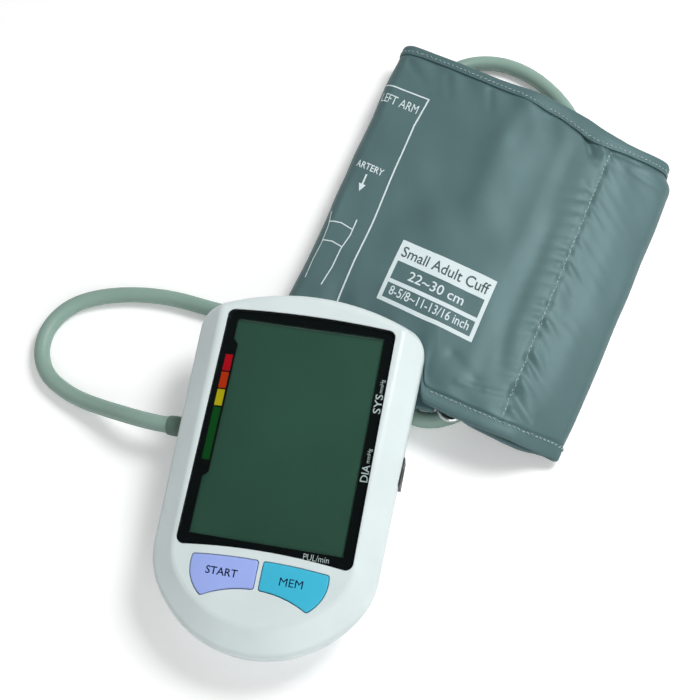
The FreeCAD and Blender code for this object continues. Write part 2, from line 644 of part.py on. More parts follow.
def under_board(width, length, height, x, y):
    low = -BOARD_DEPTH - BOARD_THICKNESS
    return block(x - width / 2, x + width / 2, y - length / 2, y + length / 2, low - height, low)


def controller_chip():
    return on_face(under_board(CHIP[0], CHIP[1], CHIP[2], 0, 4))


def board_parts():
    spots = [(-14, 10, 5, 3), (-18, -2, 3, 5), (16, 12, 6, 3), (20, 2, 3, 3), (12, -8, 4, 2)]
    return on_face(group([under_board(w, d, 1.0, x, y) for x, y, w, d in spots]))


def pressure_sensor():
    body = on_face(under_board(SENSOR[0], SENSOR[1], SENSOR[2], SENSOR_X, SENSOR_Y))
    low = AIR_Z + SENSOR_RISE
    return union([body, rod(1.2, (SENSOR_X, AIR_Y, low),
                            (SENSOR_X, AIR_Y, body.CenterOfMass.z))])


def key_centre(side):
    return side * (KEY_OUTER + KEY_SPLIT / 2) / 2, (KEY_REAR_OUTER + KEY_FRONT_INNER) / 2


def key(side):
    x, y = key_centre(side)
    pad_top = -BOARD_DEPTH + PAD_THICKNESS + 1.2
    body = key_plate(0, -WALL - 0.1, KEY_PROUD, side)
    lip = key_plate(KEY_LIP_REACH, -WALL - KEY_LIP, -WALL, side)
    post = rod(POST_RADIUS, (x, y, pad_top + KEY_TRAVEL + 0.1), (x, y, -WALL - KEY_LIP))
    return on_face(union([body, lip, post]))


def button_pad():
    """Silicone sheet with a dome under each key."""
    sheet_y = key_centre(1)[1]
    sheet = block(-PAD_HALF_WIDTH, PAD_HALF_WIDTH, sheet_y - PAD_HALF_LENGTH,
                  sheet_y + PAD_HALF_LENGTH, -BOARD_DEPTH, -BOARD_DEPTH + PAD_THICKNESS)
    domes = []
    for side in (-1, 1):
        x, y = key_centre(side)
        domes.append(Part.makeCone(DOME_RADIUS, POST_RADIUS, PAD_THICKNESS + 1.2,
                                   V(x, y, -BOARD_DEPTH), Z_AXIS))
    return on_face(union([sheet] + domes))


# --- batteries ---------------------------------------------------------------------------
def cell_rows():
    first = BAY_REAR - CELL_CLEARANCE - CELL_PITCH / 2
    return [(first - i * CELL_PITCH, 1 if i % 2 else -1) for i in range(CELL_COUNT)]


def cell_z():
    return FLOOR_Z + CELL_CLEARANCE + CELL_RADIUS


def battery_cells():
    cells = []
    for y, way in cell_rows():
        flat = way * (SPRING_LENGTH - CELL_LENGTH) / 2
        tip = way * (SPRING_LENGTH + CELL_LENGTH) / 2
        can = rod(CELL_RADIUS, (flat, y, cell_z()), (tip - way, y, cell_z()))
        nub = rod(2.6, (tip - way, y, cell_z()), (tip, y, cell_z()))
        cells.append(union([can, nub]))
    return group(cells)


def battery_springs():
    springs = []
    for y, way in cell_rows():
        wide = -way * (CELL_LENGTH + SPRING_LENGTH) / 2
        springs.append(Part.makeCone(SPRING_RADIUS, SPRING_TIP_RADIUS, SPRING_LENGTH,
                                     V(wide, y, cell_z()), V(way, 0, 0)))
    return group(springs)


def battery_contacts():
    half, front, ceiling = bay_limits()
    plates = []
    for side, pairs in ((-1, [(0, 0), (1, 2), (3, 3)]), (1, [(0, 1), (2, 3)])):
        outer, inner = side * half, side * (half - CONTACT_THICKNESS)
        rows = cell_rows()
        for a, b in pairs:
            plates.append(block(min(outer, inner), max(outer, inner), rows[b][0] - 5,
                                rows[a][0] + 5, cell_z() - 5, cell_z() + 5))
    return group(plates)


# --- pump --------------------------------------------------------------------------------
def pump_motor():
    end = MOTOR_X + MOTOR_LENGTH
    can = rod(MOTOR_RADIUS, (MOTOR_X, PUMP_Y, PUMP_Z), (end, PUMP_Y, PUMP_Z))
    bore = rod(SHAFT_RADIUS + SHAFT_CLEARANCE, (end - 6, PUMP_Y, PUMP_Z),
               (end + 1, PUMP_Y, PUMP_Z))
    return can.cut(bore)


def pump_head():
    start = MOTOR_X + MOTOR_LENGTH
    half = HEAD_SIDE / 2
    body = block(start, start + HEAD_LENGTH, PUMP_Y - half, PUMP_Y + half, PUMP_Z - half,
                 PUMP_Z + half)
    body = body.makeFillet(2.0, [e for e in body.Edges if e.BoundBox.XLength > 1])
    cavity = rod(CRANK_CAVITY_RADIUS, (start, PUMP_Y, PUMP_Z), (start + 9, PUMP_Y, PUMP_Z))
    nipple = rod(AIR_TUBE_RADIUS, (start + HEAD_LENGTH, PUMP_Y, PUMP_Z),
                 (start + HEAD_LENGTH + 3, PUMP_Y, PUMP_Z))
    return union([body.cut(cavity), nipple])


def pump_crank():
    start = MOTOR_X + MOTOR_LENGTH
    shaft = rod(SHAFT_RADIUS, (start - 5, PUMP_Y, PUMP_Z), (start + 6, PUMP_Y, PUMP_Z))
    disc = rod(CRANK_RADIUS, (start + 1, PUMP_Y, PUMP_Z + CRANK_OFFSET),
               (start + 6, PUMP_Y, PUMP_Z + CRANK_OFFSET))
    return union([shaft, disc])


def pump_sleeve():
    start = MOTOR_X + 2
    return pipe(MOTOR_RADIUS + SLEEVE_WALL, MOTOR_RADIUS, (start, PUMP_Y, PUMP_Z),
                (start + SLEEVE_LENGTH, PUMP_Y, PUMP_Z))


# --- air path ----------------------------------------------------------------------------
def air_tee():
    valve_y = AIR_Y - AIR_PIPE_RADIUS - 2
    main = rod(AIR_PIPE_RADIUS, (-TEE_REACH, AIR_Y, AIR_Z), (TEE_REACH, AIR_Y, AIR_Z))
    branch = rod(1.8, (0, AIR_Y, AIR_Z), (0, valve_y, AIR_Z))
    riser = rod(1.2, (SENSOR_X, AIR_Y, AIR_Z), (SENSOR_X, AIR_Y, AIR_Z + TEE_RISE))
    return union([main, branch, riser])


def release_valve():
    start = AIR_Y - AIR_PIPE_RADIUS - 2
    body = rod(VALVE_RADIUS, (0, start, AIR_Z), (0, start - VALVE_LENGTH, AIR_Z))
    bore = rod(PLUNGER_RADIUS + SHAFT_CLEARANCE, (0, start - VALVE_LENGTH + 6, AIR_Z),
               (0, start - VALVE_LENGTH - 1, AIR_Z))
    return body.cut(bore)


def valve_plunger():
    end = AIR_Y - AIR_PIPE_RADIUS - 2 - VALVE_LENGTH
    stem = rod(PLUNGER_RADIUS, (0, end + 4.8, AIR_Z), (0, end - 1.2 - PLUNGER_TRAVEL, AIR_Z))
    cap = rod(3.0, (0, end - PLUNGER_TRAVEL - 0.2, AIR_Z), (0, end - PLUNGER_TRAVEL - 1.4, AIR_Z))
    return union([stem, cap])


def buzzer():
    return rod(BUZZER_RADIUS, (17, -58, FLOOR_Z), (17, -58, FLOOR_Z + BUZZER_HEIGHT))


def rounded_path(points):
    """Straight runs joined by tangent arcs, each arc as large as its two runs allow."""
    spots = [V(*p) for p in points]
    edges, radii = [], []
    here = spots[0]
    for a, b, c in zip(spots, spots[1:], spots[2:]):
        back, ahead = a - b, c - b
        cut = 0.45 * min(back.Length, ahead.Length)
        turn = math.pi - back.getAngle(ahead)
        radii.append(cut / math.tan(turn / 2))
        back.normalize()
        ahead.normalize()
        enter, leave = b + back * cut, b + ahead * cut
        centre = b + (back + ahead).normalize() * math.hypot(radii[-1], cut)
        middle = centre + (b - centre).normalize() * radii[-1]
        edges += [Part.LineSegment(here, enter).toShape(), arc(enter, middle, leave)]
        here = leave
    edges.append(Part.LineSegment(here, spots[-1]).toShape())
    return Part.Wire(edges), radii


def tube_along(points, radius, name):
    path, radii = rounded_path(points)
    start = V(*points[0])
    ring = Part.Wire(Part.makeCircle(radius, start, V(*points[1]) - start))
    tube = path.makePipeShell([ring], True, False)
    expected = math.pi * radius ** 2 * path.Length
    print(f"{name}: {path.Length:.1f} long, smallest radius {min(radii):.1f}, "
          f"volume {tube.Volume / expected:.4f} of its section times its length")
    return tube


def socket_tube_start():
    return SOCKET_INNER_X - 2.6, SOCKET_Y - 7.0


def inner_tubes():
    x, y = socket_tube_start()
    run = (y - AIR_Y) / 39.5
    fall = (SOCKET_Z - AIR_Z) / 6
    end = TEE_REACH
    left = [(x, y, SOCKET_Z), (x, y - 12 * run, SOCKET_Z),
            (x + 0.4, y - 26 * run, SOCKET_Z - 3 * fall),
            (x + 3.6, y - 36 * run, AIR_Z + 0.6 * fall), (-end - 6.4, AIR_Y, AIR_Z),
            (-end, AIR_Y, AIR_Z)]
    head_end = MOTOR_X + MOTOR_LENGTH + HEAD_LENGTH + 3
    side = HALF_WIDTH_FRONT - 10.2
    run = (PUMP_Y - AIR_Y) / 82.1
    fall = (PUMP_Z - AIR_Z) / 7
    right = [(head_end, PUMP_Y, PUMP_Z), (head_end + 5.2, PUMP_Y, PUMP_Z)]
    right += [(side - x, PUMP_Y - y * run, PUMP_Z - z * fall)
              for x, y, z in [(0.6, 4.4, 0.0), (0.0, 13.0, 0.6), (0.6, 29.0, 2.4),
                              (0.8, 47.0, 4.0), (1.6, 64.0, 5.6), (2.0, 76.4, 6.8)]]
    right += [(side - 5.6, AIR_Y, AIR_Z), (end, AIR_Y, AIR_Z)]
    riser = rod(AIR_TUBE_RADIUS, (SENSOR_X, AIR_Y, AIR_Z + TEE_RISE),
                (SENSOR_X, AIR_Y, AIR_Z + SENSOR_RISE))
    return group([tube_along(left, AIR_TUBE_RADIUS, "socket tube"),
                  tube_along(right, AIR_TUBE_RADIUS, "pump tube"), riser])


# --- sockets -----------------------------------------------------------------------------
def air_socket():
    """Bush in the left wall, with a block inside that turns the air path to the front."""
    x, y = socket_tube_start()
    bush = rod(SOCKET_RADIUS, (SOCKET_FLANGE_X, SOCKET_Y, SOCKET_Z),
               (SOCKET_INNER_X, SOCKET_Y, SOCKET_Z))
    nipple = rod(AIR_TUBE_RADIUS, (x, SOCKET_Y - 4, SOCKET_Z), (x, y, SOCKET_Z))
    bore = rod(PLUG_RADIUS + PLUG_CLEARANCE, (SOCKET_FLANGE_X - 1, SOCKET_Y, SOCKET_Z),
               (SOCKET_FLANGE_X + PLUG_DEPTH + 0.3, SOCKET_Y, SOCKET_Z))
    groove = pipe(PLUG_RADIUS + SEAL_WIRE * 1.9, PLUG_RADIUS, (seal_x() - SEAL_WIRE, SOCKET_Y,
                  SOCKET_Z), (seal_x() + SEAL_WIRE, SOCKET_Y, SOCKET_Z))
    return union([bush, nipple]).cut([bore, groove])


def seal_x():
    return SOCKET_FLANGE_X + 4.0


def socket_seal():
    ring = Part.makeTorus(PLUG_RADIUS + PLUG_CLEARANCE + SEAL_WIRE * 0.85, SEAL_WIRE * 0.8,
                          V(seal_x(), SOCKET_Y, SOCKET_Z), X_AXIS)
    return ring


def air_plug():
    collar = rod(PLUG_COLLAR_RADIUS, (HOSE_START_X, SOCKET_Y, SOCKET_Z),
                 (SOCKET_FLANGE_X, SOCKET_Y, SOCKET_Z))
    stem = rod(PLUG_RADIUS, (SOCKET_FLANGE_X, SOCKET_Y, SOCKET_Z),
               (SOCKET_FLANGE_X + PLUG_DEPTH, SOCKET_Y, SOCKET_Z))
    bore = rod(1.2, (HOSE_START_X - 1, SOCKET_Y, SOCKET_Z),
               (SOCKET_FLANGE_X + PLUG_DEPTH + 1, SOCKET_Y, SOCKET_Z))
    return union([collar, stem]).cut(bore)


def power_jack():
    proud = HALF_WIDTH_FRONT + 1.1 + JACK_PROUD
    half = JACK_LENGTH / 2
    body = block(JACK_INNER_X + 0.3, proud, JACK_Y - half, JACK_Y + half, JACK_LOW, JACK_HIGH)
    middle = (JACK_LOW + JACK_HIGH) / 2
    hole = pipe(JACK_HOLE, JACK_PIN, (proud - 8, JACK_Y, middle), (proud + 1, JACK_Y, middle))
    return body.cut(hole)


def air_hose():
    start = (HOSE_START_X, SOCKET_Y, SOCKET_Z)
    return tube_along([start] + HOSE_ROUTE + [HOSE_END], HOSE_RADIUS, "air hose")


# --- cuff --------------------------------------------------------------------------------
E_U = V(math.cos(math.radians(CUFF_YAW)), math.sin(math.radians(CUFF_YAW)), 0)
E_V = V(math.cos(math.radians(CUFF_LEAN)), math.sin(math.radians(CUFF_LEAN)), 0)
LAYER = COVER_THICKNESS + BLADDER_THICKNESS + LINING_THICKNESS
CUFF_RADIUS = ARM_GAP / 2 + LAYER
BACK_Z = TAIL_Z + TAIL_THICKNESS + 2 * PATCH_THICKNESS
CORE_Z = BACK_Z + CUFF_RADIUS
FOLD_Z = CUFF_RADIUS + HEM_EXTRA     # the right fold lies on the table


def cuff_point(u, s, z):
    return V(CUFF_CORNER[0], CUFF_CORNER[1], z) + E_U * u + E_V * s


def drawn_out(face_or_wire, low, high):
    """A face drawn in the cuff's section plane, moved to s = low and drawn out to s = high."""
    face = face_or_wire.copy()
    face.translate(E_V * low)
    return face.extrude(E_V * (high - low))


def section_face(points):
    loop = [cuff_point(u, 0, z) for u, z in points]
    return Part.Face(Part.makePolygon(loop + loop[:1]))


def slab(u0, u1, z0, z1, low, high):
    return drawn_out(section_face([(u0, z0), (u1, z0), (u1, z1), (u0, z1)]), low, high)


def core_points():
    """Middle line of the closed cuff's section, from the left fold to the right one."""
    return (CUFF_RADIUS, CORE_Z), (CUFF_BEND, CORE_Z), (CUFF_WIDTH - CUFF_RADIUS, FOLD_Z)


def loop_wire(radius):
    """Closed line at one distance all round the middle line, with round folds."""
    left, bend, right = [cuff_point(u, 0, z) for u, z in core_points()]
    up, fall = V(0, 0, 1), (right - bend).normalize()
    normal = fall.cross(E_U.cross(up)).normalize()
    if normal.z < 0:
        normal = normal * -1
    half_turn = (up + normal).normalize()
    miter = radius / half_turn.dot(up)
    a, b, c = left + up * radius, bend + half_turn * miter, right + normal * radius
    d, e, f = right - normal * radius, bend - half_turn * miter, left - up * radius
    return Part.Wire([Part.LineSegment(a, b).toShape(), Part.LineSegment(b, c).toShape(),
                      arc(c, right + fall * radius, d), Part.LineSegment(d, e).toShape(),
                      Part.LineSegment(e, f).toShape(), arc(f, left - E_U * radius, a)])


def loop_layer(outer, inner, low, high):
    return drawn_out(Part.Face(loop_wire(outer)), low, high).cut(
        drawn_out(Part.Face(loop_wire(inner)), low - 1, high + 1))


def clear_of_casing(shape):
    keep_out = rear_solid(-CASING_CLEARANCE, BASE_Z)
    column = Part.Face(outline(-CASING_CLEARANCE, -CASING_CLEARANCE, -CASING_CLEARANCE))
    column = column.extrude(V(0, 0, FACE_HEIGHT + 24))
    keep_out = keep_out.fuse(column.common(cover_keep_out()))
    cut = shape.cut(keep_out)
    return max(cut.Solids, key=lambda solid: solid.Volume)


def cover_keep_out():
    top = tilted(outline(-2, -2, -2), FLANK_TILT, PARTING_HEIGHT)
    return Part.Face(top).extrude(V(0, 0, FACE_HEIGHT + 4))


def ring_slot():
    """The back of the cuff is open where it is led round the ring."""
    half = RING_WIDTH / 2 + RING_WIRE + RING_GAP
    return slab(RING_U - half, RING_U + half, BACK_Z - 1, BACK_Z + LAYER + 0.5, -20,
                CUFF_LENGTH + 20)


def cuff_cover():
    layer = loop_layer(CUFF_RADIUS, CUFF_RADIUS - COVER_THICKNESS, HEM_DEPTH,
                       CUFF_LENGTH - HEM_DEPTH)
    return clear_of_casing(layer.cut(ring_slot()))


def cuff_lining():
    layer = loop_layer(ARM_GAP / 2 + LINING_THICKNESS, ARM_GAP / 2, HEM_DEPTH,
                       CUFF_LENGTH - HEM_DEPTH)
    return clear_of_casing(layer.cut(ring_slot()))


def binding(low, high):
    layer = loop_layer(CUFF_RADIUS + HEM_EXTRA, ARM_GAP / 2, low, high)
    return clear_of_casing(layer.cut(ring_slot()))


def top_binding():
    return binding(CUFF_LENGTH - HEM_DEPTH, CUFF_LENGTH)


def bottom_binding():
    return binding(0, HEM_DEPTH)


def bladder():
    low = CORE_Z + ARM_GAP / 2 + LINING_THICKNESS
    return clear_of_casing(slab(BLADDER_LEFT, BLADDER_RIGHT, low, low + BLADDER_THICKNESS,
                                BLADDER_END_MARGIN, CUFF_LENGTH - BLADDER_END_MARGIN))


def ring_wrap():
    """Space kept round a bar of the ring, and the lowest and highest fabric round it."""
    inner = RING_WIRE + RING_GAP
    return inner, ring_z() - inner - TAIL_THICKNESS, ring_z() + inner + TAIL_THICKNESS


def cuff_tail():
    """End of the cuff, led round the ring's left bar and folded back underneath."""
    bar = RING_U - RING_WIDTH / 2
    inner, _, top = ring_wrap()
    low, high = HEM_DEPTH + 4, CUFF_LENGTH - HEM_DEPTH - 14
    whole = slab(TAIL_LEFT, bar + inner + TAIL_THICKNESS, TAIL_Z, top, low, high)
    under = slab(0, bar + inner, TAIL_Z + TAIL_THICKNESS, ring_z() + inner, 0, CUFF_LENGTH)
    over = slab(0, bar - inner - SEAM_LAP, ring_z(), top + 1, 0, CUFF_LENGTH)
    return whole.cut([under, over])


def hook_patch():
    low = TAIL_Z + TAIL_THICKNESS
    return slab(HOOK_LEFT, HOOK_RIGHT, low, low + PATCH_THICKNESS, PATCH_LOW,
                PATCH_HIGH)


def loop_patch():
    low = TAIL_Z + TAIL_THICKNESS + PATCH_THICKNESS
    return slab(LOOP_LEFT, LOOP_RIGHT, low, BACK_Z, PATCH_LOW, PATCH_HIGH)


def ring_z():
    return BACK_Z + LAYER / 2


def d_ring():
    """Round wire bent to a long loop; its rounded ends stand out past the hems."""
    left, right = RING_U - RING_WIDTH / 2, RING_U + RING_WIDTH / 2
    bend = RING_WIDTH / 2
    across = V(-E_V.y, E_V.x, 0) * -1
    a = cuff_point(left, RING_LOW + bend, ring_z())
    b = cuff_point(left, RING_HIGH - bend, ring_z())
    span = across * (RING_WIDTH * E_U.dot(across))
    c, d = b + span, a + span
    half = span.Length / 2
    low_tip = (a + d) * 0.5 - E_V * half
    high_tip = (b + c) * 0.5 + E_V * half
    path = Part.Wire([Part.LineSegment(a, b).toShape(), arc(b, high_tip, c),
                      Part.LineSegment(c, d).toShape(), arc(d, low_tip, a)])
    section = Part.Wire(Part.makeCircle(RING_WIRE, a, E_V))
    return path.makePipeShell([section], True, False)


def ring_loop():
    """Doubled end of the cuff, sewn round the ring's right bar."""
    bar = RING_U + RING_WIDTH / 2
    inner, bottom, top = ring_wrap()
    low, high = HEM_DEPTH + 4, CUFF_LENGTH - HEM_DEPTH - 14
    edge = bar + inner + SEAM_LAP
    outer = slab(bar - inner - TAIL_THICKNESS, edge, bottom, top, low, high)
    return outer.cut(slab(bar - inner, edge + 1, ring_z() - inner, ring_z() + inner, 0,
                          CUFF_LENGTH))


def cuff_port():
    """Flat flange welded to the cuff with a nipple along the table for the hose."""
    x, y, z = HOSE_END
    top = BACK_Z
    flange = rod(PORT_RADIUS, (x, y - 12, top - PORT_FLANGE), (x, y - 12, top))
    stem = rod(PORT_PIPE_RADIUS, (x, y - 12, z), (x, y - 12, top - PORT_FLANGE))
    ball = Part.makeSphere(PORT_PIPE_RADIUS, V(x, y - 12, z))
    nipple = rod(PORT_PIPE_RADIUS, (x, y - 12, z), HOSE_END)
    return union([flange, stem, ball, nipple])


# --- the assembly ------------------------------------------------------------------------
CORD_NODES = ["air_hose", "air_plug"]
NODES = {
    "front_cover": front_cover, "rear_cover": rear_cover, "battery_door": battery_door,
    "rubber_feet": rubber_feet, "case_screws": case_screws, "display_lens": display_lens,
    "lens_mask": lens_mask, "lcd_panel": lcd_panel, "lcd_frame": lcd_frame,
    "contact_strip": contact_strip, "main_board": main_board, "board_screws": board_screws,
    "controller_chip": controller_chip, "board_parts": board_parts,
    "pressure_sensor": pressure_sensor, "start_button": lambda: key(-1),
    "memory_button": lambda: key(1), "button_pad": button_pad,
    "battery_cells": battery_cells, "battery_springs": battery_springs,
    "battery_contacts": battery_contacts, "pump_motor": pump_motor, "pump_head": pump_head,
    "pump_crank": pump_crank, "pump_sleeve": pump_sleeve, "air_tee": air_tee,
    "release_valve": release_valve, "valve_plunger": valve_plunger, "buzzer": buzzer,
    "inner_tubes": inner_tubes, "air_socket": air_socket, "socket_seal": socket_seal,
    "power_jack": power_jack, "air_plug": air_plug, "air_hose": air_hose,
    "cuff_cover": cuff_cover, "cuff_lining": cuff_lining, "cuff_bladder": bladder,
    "top_binding": top_binding, "bottom_binding": bottom_binding, "cuff_tail": cuff_tail,
    "hook_patch": hook_patch, "loop_patch": loop_patch, "d_ring": d_ring,
    "ring_loop": ring_loop, "cuff_port": cuff_port,
}


def origin_of(shapes):
    """The origin is on the table, under the middle of the part without its cord."""
    whole = group([s for name, s in shapes.items() if name not in CORD_NODES])
    bounds = whole.optimalBoundingBox(False, False)
    return V((bounds.XMin + bounds.XMax) / 2, (bounds.YMin + bounds.YMax) / 2, 0)


def main():
    os.makedirs("parts", exist_ok=True)
    shapes = {name: make() for name, make in NODES.items()}
    origin = origin_of(shapes)
    print(f"origin in the monitor's frame: {origin.x:.4f}, {origin.y:.4f}")
    for name, shape in shapes.items():
        moved = shape.copy()
        moved.translate(origin * -1)
        moved.exportStep(f"parts/{name}.step")
        good = moved.isValid() and moved.Volume > 0
        print(f"{name}: {len(moved.Solids)} solids, {moved.Volume / 1000:.3f} cm3"
              + ("" if good else "  INVALID"))


main()
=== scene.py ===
import bisect
import bpy
import bmesh
import math
from mathutils import Matrix, Vector, noise


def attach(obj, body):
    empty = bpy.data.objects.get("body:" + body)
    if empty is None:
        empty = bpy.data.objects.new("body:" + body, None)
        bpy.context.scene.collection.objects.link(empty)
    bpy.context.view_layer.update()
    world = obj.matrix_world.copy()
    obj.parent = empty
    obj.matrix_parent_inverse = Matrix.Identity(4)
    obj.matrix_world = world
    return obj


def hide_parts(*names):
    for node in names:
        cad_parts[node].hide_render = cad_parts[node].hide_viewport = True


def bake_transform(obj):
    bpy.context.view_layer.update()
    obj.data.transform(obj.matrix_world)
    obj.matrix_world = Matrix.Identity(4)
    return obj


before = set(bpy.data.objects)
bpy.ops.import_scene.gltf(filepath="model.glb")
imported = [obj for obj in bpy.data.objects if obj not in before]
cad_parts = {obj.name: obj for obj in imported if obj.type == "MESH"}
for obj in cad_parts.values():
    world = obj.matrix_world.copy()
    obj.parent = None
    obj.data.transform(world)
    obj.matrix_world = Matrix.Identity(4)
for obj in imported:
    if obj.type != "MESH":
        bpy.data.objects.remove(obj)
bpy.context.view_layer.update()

# --- Camera and studio ---
# The set stands on a pale table, lit by broad soft lamps, and is looked down on from the
# front right of the monitor. The datum is the table under the middle of the display.
datum = Vector((-0.047805, -0.065868, 0))


def at(x, y, z=0.0):
    """A point given in millimetres from the monitor's datum, in metres in the frame."""
    return datum + Vector((x, y, z)) / 1000


camera_data = bpy.data.cameras.new("camera")
camera_data.lens = 66.9
camera_data.sensor_width = 36
camera_data.clip_start = 0.01
camera = bpy.data.objects.new("camera", camera_data)
right, up, back = (0.9793, 0.1915, -0.0654), (-0.1411, 0.8778, 0.4577), (0.1450, -0.4390, 0.8867)
camera.matrix_world = (Matrix.Translation(at(94.8, -194.8, 510.3))
                       @ Matrix((right, up, back)).transposed().to_4x4())
bpy.context.collection.objects.link(camera)
bpy.context.scene.camera = camera
bpy.context.scene.view_settings.view_transform = "Standard"

for name, place, size, power in [("key_lamp", (350, 330, 650), 0.30, 4.2),
                                 ("fill_lamp", (-520, 60, 420), 0.5, 0.4),
                                 ("front_lamp", (240, -540, 420), 0.5, 1.5)]:
    lamp = bpy.data.lights.new(name, "AREA")
    lamp.size, lamp.energy = size, power
    light = bpy.data.objects.new(name, lamp)
    light.location = at(*place)
    aim = at(30, 60, 0) - light.location
    light.rotation_euler = aim.to_track_quat("-Z", "Y").to_euler()
    bpy.context.collection.objects.link(light)


def set_inputs(node, values):
    """Gives sockets of a shader node their values."""
    for key, value in values.items():
        node.inputs[key].default_value = value


def add(tree, kind, values=None, **settings):
    """A shader node with some of its settings and sockets given."""
    made = tree.nodes.new(kind)
    for key, value in settings.items():
        setattr(made, key, value)
    set_inputs(made, values or {})
    return made


def map_range(tree, *values):
    """A node that maps one range to another."""
    return add(tree, "ShaderNodeMapRange",
               dict(zip(("From Min", "From Max", "To Min", "To Max"), values)))


def join(tree, *wires):
    """Links shader nodes: each wire is a node, its output, a node and its input."""
    for source, output, target, socket in wires:
        tree.links.new(source.outputs[output], target.inputs[socket])


def new_material(name):
    """A node material, its node tree and its surface shader."""
    material = bpy.data.materials.new(name)
    material.use_nodes = True
    tree = material.node_tree
    return material, tree, tree.nodes["Principled BSDF"]


world = bpy.data.worlds.new("studio")
bpy.context.scene.world = world
world.use_nodes = True
sky = world.node_tree
backdrop = sky.nodes["Background"]
set_inputs(backdrop, {"Color": (1, 1, 1, 1)})
aim = add(sky, "ShaderNodeTexCoord")
height = add(sky, "ShaderNodeSeparateXYZ")
strength = add(sky, "ShaderNodeMath", operation="MULTIPLY")
join(sky, (aim, "Generated", height, "Vector"), (strength, "Value", backdrop, "Strength"))
# The ceiling is darker than the walls, so that the flat display doesn't mirror it, and the
# wall on the right is a little brighter than the others.
for i, (axis, values) in enumerate([("Z", (0.80, 0.93, 0.46, 0.10)),
                                    ("X", (-0.9, 0.9, 0.42, 1.12))]):
    part = map_range(sky, *values)
    join(sky, (height, axis, part, "Value"), (part, "Result", strength, i))

bpy.ops.mesh.primitive_plane_add(size=6, location=(0, 0, -0.0002))
table = bpy.context.object
table.name = "table"
table_finish, tree, shader = new_material("pale_table")
set_inputs(shader, {"Base Color": (0.97, 0.97, 0.97, 1), "Roughness": 0.9,
                    "Specular IOR Level": 0.1, "Emission Color": (1, 1, 1, 1)})
seen = add(tree, "ShaderNodeLightPath")
glow = add(tree, "ShaderNodeMath", {1: 0.2}, operation="MULTIPLY")
join(tree, (seen, "Is Camera Ray", glow, 0), (glow, "Value", shader, "Emission Strength"))
table.data.materials.append(table_finish)

# --- Air hose ---
# Soft silicone tube, seven millimetres across, pushed onto the plug at the monitor and onto
# the nipple under the cuff. It is one extruded length, and lies in loose bends on the table.
hose_route = [
    (-50.6, 3, 16), (-59.4, 3, 16), (-69.4, 4.6, 14.2), (-79, 7, 11.2),
    (-88.4, 9.6, 7.8), (-97.8, 12.2, 5.4), (-107.1, 15.6, 4.1)]
# From here on it lies on the table.
hose_route += [(x, y, 3.6) for x, y in [
    (-118.4, 22.1), (-125, 33.4), (-125, 46.6), (-118.4, 57.9), (-107.1, 64.5),
    (-91, 68.6), (-72.4, 69.4), (-53.6, 66.4), (-34.4, 64.4), (-15.4, 65.4), (2.6, 67.6),
    (17.6, 67.4), (30.4, 61.6), (38.9, 51.4), (42.4, 43), (43, 35), (44, 28.4),
    (52, 28), (60.6, 31.2), (68.8, 38.2), (76.4, 47.6), (83.8, 58.2), (90.2, 70.4),
    (95.2, 84), (98.4, 102), (101.8, 122.4), (104.2, 142.4), (104, 161.2),
    (100.4, 178.4), (93.6, 194.4), (83, 208.2), (69.6, 218.4), (54.8, 223.2),
    (40.4, 221.2), (29.6, 213.4), (23.7, 201.4), (23.7, 189.1)]]
hose_radius = 0.0035


def new_piece(name, mesh):
    """A new piece from a mesh or a curve, or from an open bmesh that is closed here."""
    if isinstance(mesh, bmesh.types.BMesh):
        opened, mesh = mesh, bpy.data.meshes.new(name)
        opened.to_mesh(mesh)
        opened.free()
    made = bpy.data.objects.new(name, mesh)
    bpy.context.collection.objects.link(made)
    return made


def finish_piece(piece, material, body, sharp=None):
    """Material, smooth shading that splits where faces meet at more than the given angle, then
    body."""
    piece.data.materials.append(material)
    piece.data.shade_smooth()
    if sharp is not None:
        piece.data.set_sharp_from_angle(angle=math.radians(sharp))
    if body:
        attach(piece, body)


line = bpy.data.curves.new("hose_line", "CURVE")
line.dimensions = "3D"
line.resolution_u = 10
spline = line.splines.new("NURBS")
spline.points.add(len(hose_route) - 1)
for point, place in zip(spline.points, hose_route):
    point.co = (*at(*place), 1)
spline.order_u = 3
spline.use_endpoint_u = True
holder = new_piece("hose_line", line)
trace = bpy.data.meshes.new_from_object(holder)
line.bevel_depth = hose_radius
line.bevel_resolution = 8
line.use_fill_caps = True
air_hose = new_piece("hose_tube", bpy.data.meshes.new_from_object(holder))
bpy.data.objects.remove(holder)


def rgb(red, green, blue):
    """A colour given in screen values of 0 to 255, as the shader wants it."""
    parts = [v / 255 for v in (red, green, blue)]
    return [p / 12.92 if p < 0.04045 else ((p + 0.055) / 1.055) ** 2.4 for p in parts] + [1]


def shared_surface(name, fineness):
    """A node group that makes a surface's colour, roughness and normal from a plain colour and
    roughness and from the fineness and depth of its grain."""
    group = bpy.data.node_groups.new(name, "ShaderNodeTree")
    for kind, socket, form in [("INPUT", "Color", "Color"), ("INPUT", "Roughness", "Float"),
                               ("INPUT", fineness, "Float"), ("INPUT", "Depth", "Float"),
                               ("OUTPUT", "Color", "Color"), ("OUTPUT", "Roughness", "Float"),
                               ("OUTPUT", "Normal", "Vector")]:
        group.interface.new_socket(socket, in_out=kind, socket_type="NodeSocket" + form)
    return group, group.nodes.new("NodeGroupInput"), group.nodes.new("NodeGroupOutput")


def surfaced_material(name, group, surface_values, shader_values):
    """A material that takes its colour, roughness and normal from a shared surface."""
    material, tree, shader = new_material(name)
    surface = add(tree, "ShaderNodeGroup", surface_values, node_tree=group)
    join(tree, (surface, "Color", shader, "Base Color"),
         (surface, "Roughness", shader, "Roughness"), (surface, "Normal", shader, "Normal"))
    set_inputs(shader, {key.replace("_", " "): v for key, v in shader_values.items()})
    return material
